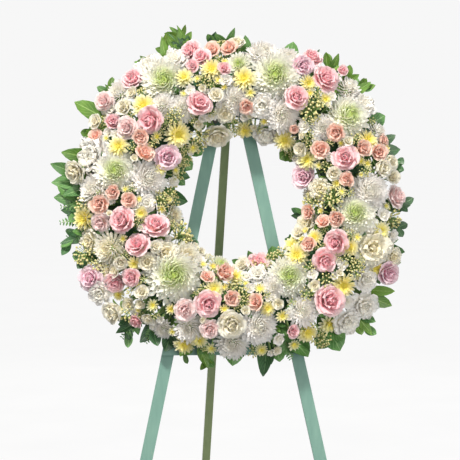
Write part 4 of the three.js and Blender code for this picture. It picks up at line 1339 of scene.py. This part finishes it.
@dataclass
class LeafMaker:
    """Makes leaves: a folded, waved blade with a toothed edge, closed and thin."""

    rng: np.random.Generator
    across: int = 7
    along: int = 10
    thick: float = 0.7
    teeth: int = 9
    roll: float = 0.35
    plane: RingPlane = PLANE

    BROAD = (0.9, 1.3)
    BLUNT = (0.5, 0.8)
    FOLD = (0.10, 0.28)

    def add(self, store: MeshStore, blades: list[Blade]) -> None:
        """Adds leaves to a store, each green in its own finish.

        Args:
            store: where they go.
            blades: the leaves.
        """
        faces = sheet_faces(self.across, self.along)
        for green, finish in LEAVES.items():
            chosen = [blade for blade in blades if blade.green is green]
            if chosen:
                skins = thickened(self.grid(chosen), np.full(len(chosen), self.thick))
                store.add(self.plane.to_frame(skins), faces, finish, self.marks(len(chosen)))

    def grid(self, blades: list[Blade]) -> np.ndarray:
        """The leaves' middle surfaces in the plane.

        Args:
            blades: the leaves.

        Returns:
            Copies by across by along by 3. The half-width at v is width / 2 * sin(pi * v^a)^b, times 1 plus
            small teeth, where a within BROAD and b within BLUNT make egg-shaped and pointed leaves. The row
            across is a shallow V that waves. The middle line bends towards its rise as v^2.2 and sways
            sideways as a sine of v.
        """
        rng = self.rng
        each = (len(blades), 1, 1)
        foot, heading = (np.array([getattr(blade, name) for blade in blades]) for name in ("foot", "heading"))
        length, width, rise = (
            np.array([getattr(blade, name) for blade in blades]).reshape(each)
            for name in ("length", "width", "rise")
        )
        v = np.linspace(0, 1, self.along)[None, None, :]
        u = np.linspace(-1, 1, self.across)[None, :, None]
        broad, blunt = rng.uniform(*self.BROAD, each), rng.uniform(*self.BLUNT, each)
        half = width / 2 * np.maximum(np.maximum(np.sin(math.pi * v**broad), 0) ** blunt, 0.05)
        half = half * (1 + 0.05 * np.cos(TURN * self.teeth * v))
        side = u * half + 0.06 * length * np.sin(math.pi * v) * rng.normal(0, 1, each)
        fold = rng.uniform(*self.FOLD, each)
        wave = 0.05 * width * np.sin(7.0 * v + rng.uniform(0, 6.3, each)) * u
        lift = rise * v**2.2 + fold * np.abs(u) * half + wave
        local = np.stack([side, length * v + 0 * u, lift], axis=-1)
        across = unit(np.cross(heading, np.array([0.0, 0.0, 1.0])))
        roll = rng.normal(0, self.roll, (len(blades), 1))
        turned = np.cos(roll) * across + np.sin(roll) * np.cross(across, heading)
        axes = np.stack([turned, heading, np.cross(turned, heading)], axis=-2)
        return foot[:, None, None, :] + np.einsum("nuvk,nkc->nuvc", local, axes)

    def marks(self, count: int) -> np.ndarray:
        """Along, across, layer and tint of the leaves' points, for both faces."""
        tint = self.rng.uniform(0, 1, count)
        return blade_marks(np.linspace(0, 1, self.along), self.across, np.ones(count), tint)

    def stem(self, store: MeshStore, path: np.ndarray, radius: float) -> None:
        """A round stem with closed ends.

        Args:
            store: where it goes.
            path: its points in the plane.
            radius: its radius.
        """
        sides = 7
        points = tubes(path[None], unit(np.gradient(path, axis=0))[None], radius, sides)
        marks = np.full((*points.shape[:2], 4), 0.5)
        store.add(self.plane.to_frame(points), turned_faces(len(path), sides), SEPAL, marks)


@dataclass
class Foliage:
    """The leafy stems round the ring's rim and hole, a piece for each node, and fern fronds at the left."""

    seed: int
    outer_edge: float = 249.5
    inner_edge: float = 150.5
    level: float = 17.0
    stem_radius: float = 1.8
    rib_radius: float = 0.7
    sunk: float = 12.0
    leaflet_pairs: int = 15
    plane: RingPlane = PLANE

    FRONDS = [(221, 332), (214, 312), (258, 324), (263, 332), (268, 328), (163, 304), (118, 308)]

    def blades(
        self, run: tuple[int, int], leaves: list[tuple], edge: float, rng: np.random.Generator
    ) -> list[Blade]:
        """The leaves of one stretch, each headed away from the ring, with smaller ones beside it.

        Args:
            run: the stretch's first and last degree.
            leaves: the rim's leaves or the hole's.
            edge: the distance of the stem that they grow from.
            rng: the foliage's draw.

        Returns:
            The leaves, six small ones beside each small one at the rim and two beside the others.
        """
        found = []
        outward = 1 if edge > self.plane.ring else -1
        greens = OUTER_GREENS if outward > 0 else INNER_GREENS
        for degrees, reach, width, turn, rise in leaves:
            if (degrees - run[0]) % 360 > run[1] - run[0]:
                continue
            green = next(tone for end, tone in greens if degrees < end)
            way = math.radians(degrees + turn) + (math.pi if outward < 0 else 0)
            foot = polar(math.radians(degrees), edge - outward, self.level)
            heading = polar(way, 1.0, 0.0)
            length = (abs(reach - edge) + 1) * (1.08 if outward > 0 else 1.0)
            found.append(Blade(foot, heading, length, width, rise, green))
            small = green is not Green.MID and width < 25
            for side in (-1, 1) * (3 if small else 1):
                bent = way + side * rng.uniform(0.35, 0.95)
                beside = unit(polar(bent, 1.0, rng.uniform(-0.1, 0.4)))
                lower = foot + heading * length * (rng.uniform(0.3, 0.8) if small else rng.uniform(0.0, 0.45))
                share = rng.uniform(0.28, 0.42) if small else rng.uniform(0.4, 0.75)
                other = green if rng.uniform() < 0.75 else Green.MID
                found.append(Blade(lower, beside, length * share, width * 0.7, rise * share, other))
        return found

    def midrib(self, degrees: float, reach: float, edge: float, count: int) -> np.ndarray:
        """Points along a frond's rib, straight outwards and arched: level + 4 + 14 t - 18 t^2 at share t.

        Args:
            degrees: clockwise from the top.
            reach: how far from the ring's centre it ends.
            edge: where it starts.
            count: how many points.

        Returns:
            Points by 3, in the plane.
        """
        t = (np.arange(count) + 0.5) / count
        height = self.level + 4 + 14 * t - 18 * t * t
        return polar(math.radians(degrees), edge + (reach - edge) * t, height)

    def frond(self, degrees: float, reach: float, edge: float) -> list[Blade]:
        """A fern frond: leaflets in pairs on its rib, 4 + 14 * sin(pi * (0.12 + 0.88 t)^0.7) long.

        Args:
            degrees: clockwise from the top.
            reach: how far from the ring's centre it ends.
            edge: where it starts.

        Returns:
            The leaflets.
        """
        pairs = self.leaflet_pairs
        outward, beside = (polar(math.radians(degrees + turn), 1.0, 0.0) for turn in (0, 90))
        found = []
        for index, place in enumerate(self.midrib(degrees, reach, edge, pairs)):
            size = 14 * math.sin(math.pi * (0.12 + 0.88 * (index + 0.5) / pairs) ** 0.7) + 4
            for side in (-1, 1):
                heading = unit(outward * 0.5 + beside * side + np.array([0, 0, 0.15]))
                found.append(Blade(place, heading, size, size * 0.44, -2.0, Green.MID))
        return found

    def build(self) -> None:
        """Makes a piece for each leafy stem."""
        rng = np.random.default_rng(self.seed)
        maker = LeafMaker(rng)
        leaflets = LeafMaker(rng, across=3, along=5, thick=0.5, teeth=2, roll=0.15)
        beds = [
            ("outer_leaves", OUTER_SPRIGS, OUTER_LEAVES, self.outer_edge, self.FRONDS),
            ("inner_leaves", INNER_SPRIGS, INNER_LEAVES, self.inner_edge, []),
        ]
        for name, sprigs, leaves, edge, fronds in beds:
            for index, run in enumerate(sprigs):
                store = MeshStore()
                maker.add(store, self.blades(run, leaves, edge, rng))
                for degrees, reach in [frond for frond in fronds if run[0] <= frond[0] <= run[1]]:
                    leaflets.add(store, self.frond(degrees, reach, edge - self.sunk))
                    maker.stem(store, self.midrib(degrees, reach, edge - self.sunk, 10), self.rib_radius)
                path = polar(np.radians(np.linspace(*run, 24)), edge, self.level)
                maker.stem(store, path, self.stem_radius)
                store.plant(f"{name}_{index + 1}_blades", "leaves", f"{name}_{index + 1}")


@dataclass
class Undergrowth:
    """Small leaves, florets and buds that fill the gaps between the heads and hide the foam."""

    seed: int
    leaves: int = 320
    florets: int = 200
    tries: int = 6000
    quarters: int = 4
    leaf_feet: tuple[float, float] = (52, 36)
    reach: tuple[float, float] = (112, 282)
    widest: float = 22
    plane: RingPlane = PLANE

    GREENS = [Green.DEEP, Green.MID, Green.MID, Green.FRESH]
    CHOICES = [
        (Kind.BUDS, Tone.LIME), (Kind.BUDS, Tone.LIME), (Kind.BUDS, Tone.LIME), (Kind.DAISY, Tone.LEMON),
        (Kind.FRILL, Tone.WHITE), (Kind.FRILL, Tone.WHITE), (Kind.SPRAY, Tone.CREAM),
        (Kind.DAISY, Tone.YELLOW),
    ]
    # Small heads over the widest gaps, which the even fill leaves open
    CLOSERS = [
        (Kind.SPRAY, Tone.CREAM, -252, -121, 30), (Kind.DAISY, Tone.LEMON, -238, -128, 26),
        (Kind.BUDS, Tone.LIME, -264, -120, 24), (Kind.BUDS, Tone.LIME, 28, -126, 22),
        (Kind.SPRAY, Tone.CREAM, -224, -130, 26), (Kind.BUDS, Tone.LIME, -207, -205, 24),
    ]

    def build(self) -> None:
        """Makes the leaf piece and the floret pieces."""
        rng = np.random.default_rng(self.seed)
        angle = rng.uniform(0, TURN, self.leaves)
        tilt = rng.uniform(-1.35, 1.35, self.leaves)
        feet = self.plane.on_ring(angle, tilt, *self.leaf_feet)
        heading = self.plane.normal(angle, tilt) + rng.normal(0, 0.75, (self.leaves, 3))
        heading[:, 2] = np.maximum(heading[:, 2], -0.1)
        blades = [
            Blade(
                foot, way, rng.uniform(20, 32), rng.uniform(9, 15), rng.uniform(-6, 6),
                self.GREENS[int(rng.integers(len(self.GREENS)))])
            for foot, way in zip(feet, unit(heading))
        ]
        store = MeshStore()
        LeafMaker(rng, across=4, along=6, thick=0.6, teeth=3).add(store, blades)
        store.plant("undergrowth_leaves", "leaves")
        self.fill_with_florets(rng)

    def fill_with_florets(self, rng: np.random.Generator) -> None:
        """Adds the closers, and small florets at even random places where no head is, in four pieces.

        Args:
            rng: the undergrowth's draw.
        """
        stores = [MeshStore() for _ in range(self.quarters)]
        florist = Florist(rng)
        groups = [places for groups in PLANTING.values() for *_, places in groups]
        taken = np.concatenate(groups).astype(float)
        for kind, tone, right, up, width in self.CLOSERS:
            store = stores[int(math.atan2(right, up) % TURN / TURN * self.quarters)]
            florist.add(store, Head(kind, tone, right, up, width, rng, 0.8, True))
        found = 0
        for _ in range(self.tries):
            radius, angle = rng.uniform(*self.reach), rng.uniform(0, TURN)
            spot = np.array([radius * math.sin(angle), radius * math.cos(angle)])
            gap = (np.linalg.norm(taken[:, :2] - spot, axis=1) - taken[:, 2] * 0.5).min()
            if gap < 1.0:
                continue
            width = min(gap * 2.0 + 9, self.widest)
            kind, tone = self.CHOICES[int(rng.integers(len(self.CHOICES)))]
            store = stores[int(angle / TURN * self.quarters)]
            florist.add(store, Head(kind, tone, spot[0], spot[1], width, rng, rng.uniform(0.65, 0.95), True))
            taken = np.vstack([taken, [spot[0], spot[1], width]])
            found += 1
            if found == self.florets:
                break
        for index, store in enumerate(stores):
            store.plant(f"filler_florets_{index + 1}", "white_petals")


@dataclass
class Stand:
    """The finishes of the easel, its fittings, the tray and the foam, which keep their solid shapes."""

    slope: float = math.radians(12)
    splay: float = math.radians(17)
    level: float = math.radians(90)

    METAL = ("screw", "nail", "pivot")

    def dress(self) -> None:
        """Gives each kept node its finish."""
        finishes = {
            "front_leg_left": PaintedLath("lath_left", turn=(0.0, -self.slope, 0.0)),
            "front_leg_right": PaintedLath("lath_right", turn=(0.0, self.slope, 0.0)),
            "crossbar": PaintedLath("lath_cross", turn=(0.0, self.level, 0.0)),
            "head_board": PaintedLath("lath_head", turn=(0.0, self.level, 0.0)),
            "rear_leg": PaintedLath(
                "lath_rear", (0.29, 0.37, 0.18), (0.15, 0.21, 0.09), (0.42, 0.44, 0.28),
                (self.splay, 0.0, 0.0)),
            "ring_tray": MouldedTray(),
            "foam_ring": WetFoam(),
        }
        metal = [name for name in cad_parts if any(word in name for word in self.METAL)]
        finishes |= dict.fromkeys(metal, FittingSteel())
        for name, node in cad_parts.items():
            if name in finishes:
                node.data.materials.clear()
                node.data.materials.append(finishes[name].material())
                LOG.info("%s dressed as %s", name, finishes[name].name)


@dataclass
class Studio:
    """A pale floor, soft light and a camera at the picture's viewing angle."""

    azimuth: float = math.radians(-3)
    elevation: float = math.radians(4)
    distance: float = 3.2
    field_of_view: float = 0.828
    sensor: float = 36
    aim: Triple = (-21.6, -57.6, 50.0)
    lit: Triple = (0, -0.15, 0.85)
    pale: float = 0.93
    ambient: float = 0.26
    floor_share: float = 0.04
    floor_sides: int = 96
    floor_level: float = -0.0005
    drum_sides: int = 48
    reach: float = 30.0

    LAMPS = [
        ("key", (-2.75, -3.46, 6.87), 0.8, 720, (1.0, 0.95, 0.88)),
        ("front", (1.3, -3.5, 1.2), 3.0, 80, (1.0, 0.97, 0.93)),
        ("rear", (0.6, 3.8, 2.0), 3.0, 50, (1.0, 0.98, 0.96)),
    ]

    def build(self) -> None:
        """Makes the floor, the backdrop, the lights and the camera."""
        self.floor()
        self.backdrop()
        self.lights()
        self.camera()

    def staged(self, name: str, points: np.ndarray, faces: list[tuple], nodes: Nodes) -> None:
        """Makes a sheet that isn't part of the object and that no light bounces off onto it.

        Args:
            name: its name.
            points: points by 3.
            faces: each face's points.
            nodes: its material.
        """
        mesh = bpy.data.meshes.new(name)
        mesh.from_pydata(points.tolist(), [], faces)
        mesh.materials.append(nodes.material)
        sheet = bpy.data.objects.new(name, mesh)
        sheet.visible_diffuse = False
        sheet.visible_shadow = False
        bpy.context.scene.collection.objects.link(sheet)

    def ring(self, sides: int, height: float) -> np.ndarray:
        """A ring of points as wide as the floor, at a height."""
        return np.concatenate([self.reach * circle(sides), np.full((sides, 1), height)], axis=-1)

    def floor(self) -> None:
        """A wide pale floor, a round sheet with a faint mottle. It glows so that its far part is as pale as
        the backdrop: glow + share * ambient = pale."""
        nodes = Nodes("floor_pale")
        mottle = nodes.noise(nodes.place(), 3.0)
        share = self.floor_share
        nodes.colour(nodes.ramp(mottle, [(0.3, (share - 0.01,) * 3), (0.8, (share + 0.01,) * 3)]))
        nodes.set(Roughness=1.0, Specular_IOR_Level=0.0, Emission_Color=(1, 1, 1, 1))
        nodes.set(Emission_Strength=self.pale - share * self.ambient)
        rim = self.ring(self.floor_sides, self.floor_level)
        self.staged("floor", rim, [tuple(range(self.floor_sides))], nodes)

    def backdrop(self) -> None:
        """A pale glowing drum around and above the floor."""
        sides = self.drum_sides
        points = np.concatenate([self.ring(sides, -1), self.ring(sides, self.reach)])
        step = np.arange(sides)
        after = (step + 1) % sides
        walls = np.stack([step, after, after + sides, step + sides], axis=-1).tolist()
        nodes = Nodes("backdrop_pale")
        nodes.set(Base_Color=(0, 0, 0, 1), Specular_IOR_Level=0.0, Emission_Color=(1, 1, 1, 1))
        nodes.set(Emission_Strength=self.pale)
        self.staged("backdrop", points, walls + [tuple(range(sides, 2 * sides))], nodes)

    def lights(self) -> None:
        """A soft even surround, a key lamp at the upper left, and wide lamps ahead and behind."""
        world = bpy.data.worlds.new("surround")
        world.use_nodes = True
        inputs = world.node_tree.nodes["Background"].inputs
        inputs["Color"].default_value = (1.0, 0.98, 0.94, 1)
        inputs["Strength"].default_value = self.ambient
        bpy.context.scene.world = world
        for name, place, size, power, colour in self.LAMPS:
            data = bpy.data.lights.new(name, "AREA")
            data.energy, data.size, data.color = power, size, colour
            lamp = bpy.data.objects.new(name, data)
            lamp.location = place
            lamp.rotation_euler = (Vector(self.lit) - Vector(place)).to_track_quat("-Z", "Y").to_euler()
            bpy.context.scene.collection.objects.link(lamp)

    def camera(self) -> None:
        """A long lens aimed a little left of and below the ring's centre."""
        aim = Vector(PLANE.to_frame(np.array(self.aim)))
        level = math.cos(self.elevation)
        across, ahead = math.sin(self.azimuth) * level, -math.cos(self.azimuth) * level
        back = Vector((across, ahead, math.sin(self.elevation)))
        data = bpy.data.cameras.new("camera")
        data.sensor_width = self.sensor
        data.lens = self.sensor * self.distance / self.field_of_view
        camera = bpy.data.objects.new("camera", data)
        camera.location = aim + back * self.distance
        camera.rotation_euler = (-back).to_track_quat("-Z", "Y").to_euler()
        bpy.context.scene.collection.objects.link(camera)
        bpy.context.scene.camera = camera
        bpy.context.scene.view_settings.view_transform = "Standard"


def main() -> None:
    """Builds the wreath's pieces in order and dresses the stand."""
    logging.basicConfig(level=logging.INFO, format="%(message)s")
    Stand().dress()
    FlowerBed(Bed.WHITE, 21).build()
    FlowerBed(Bed.PINK, 22).build()
    FlowerBed(Bed.YELLOW, 23).build()
    Foliage(24).build()
    Undergrowth(25).build()
    Studio().build()


if __name__ == "__main__":
    main()
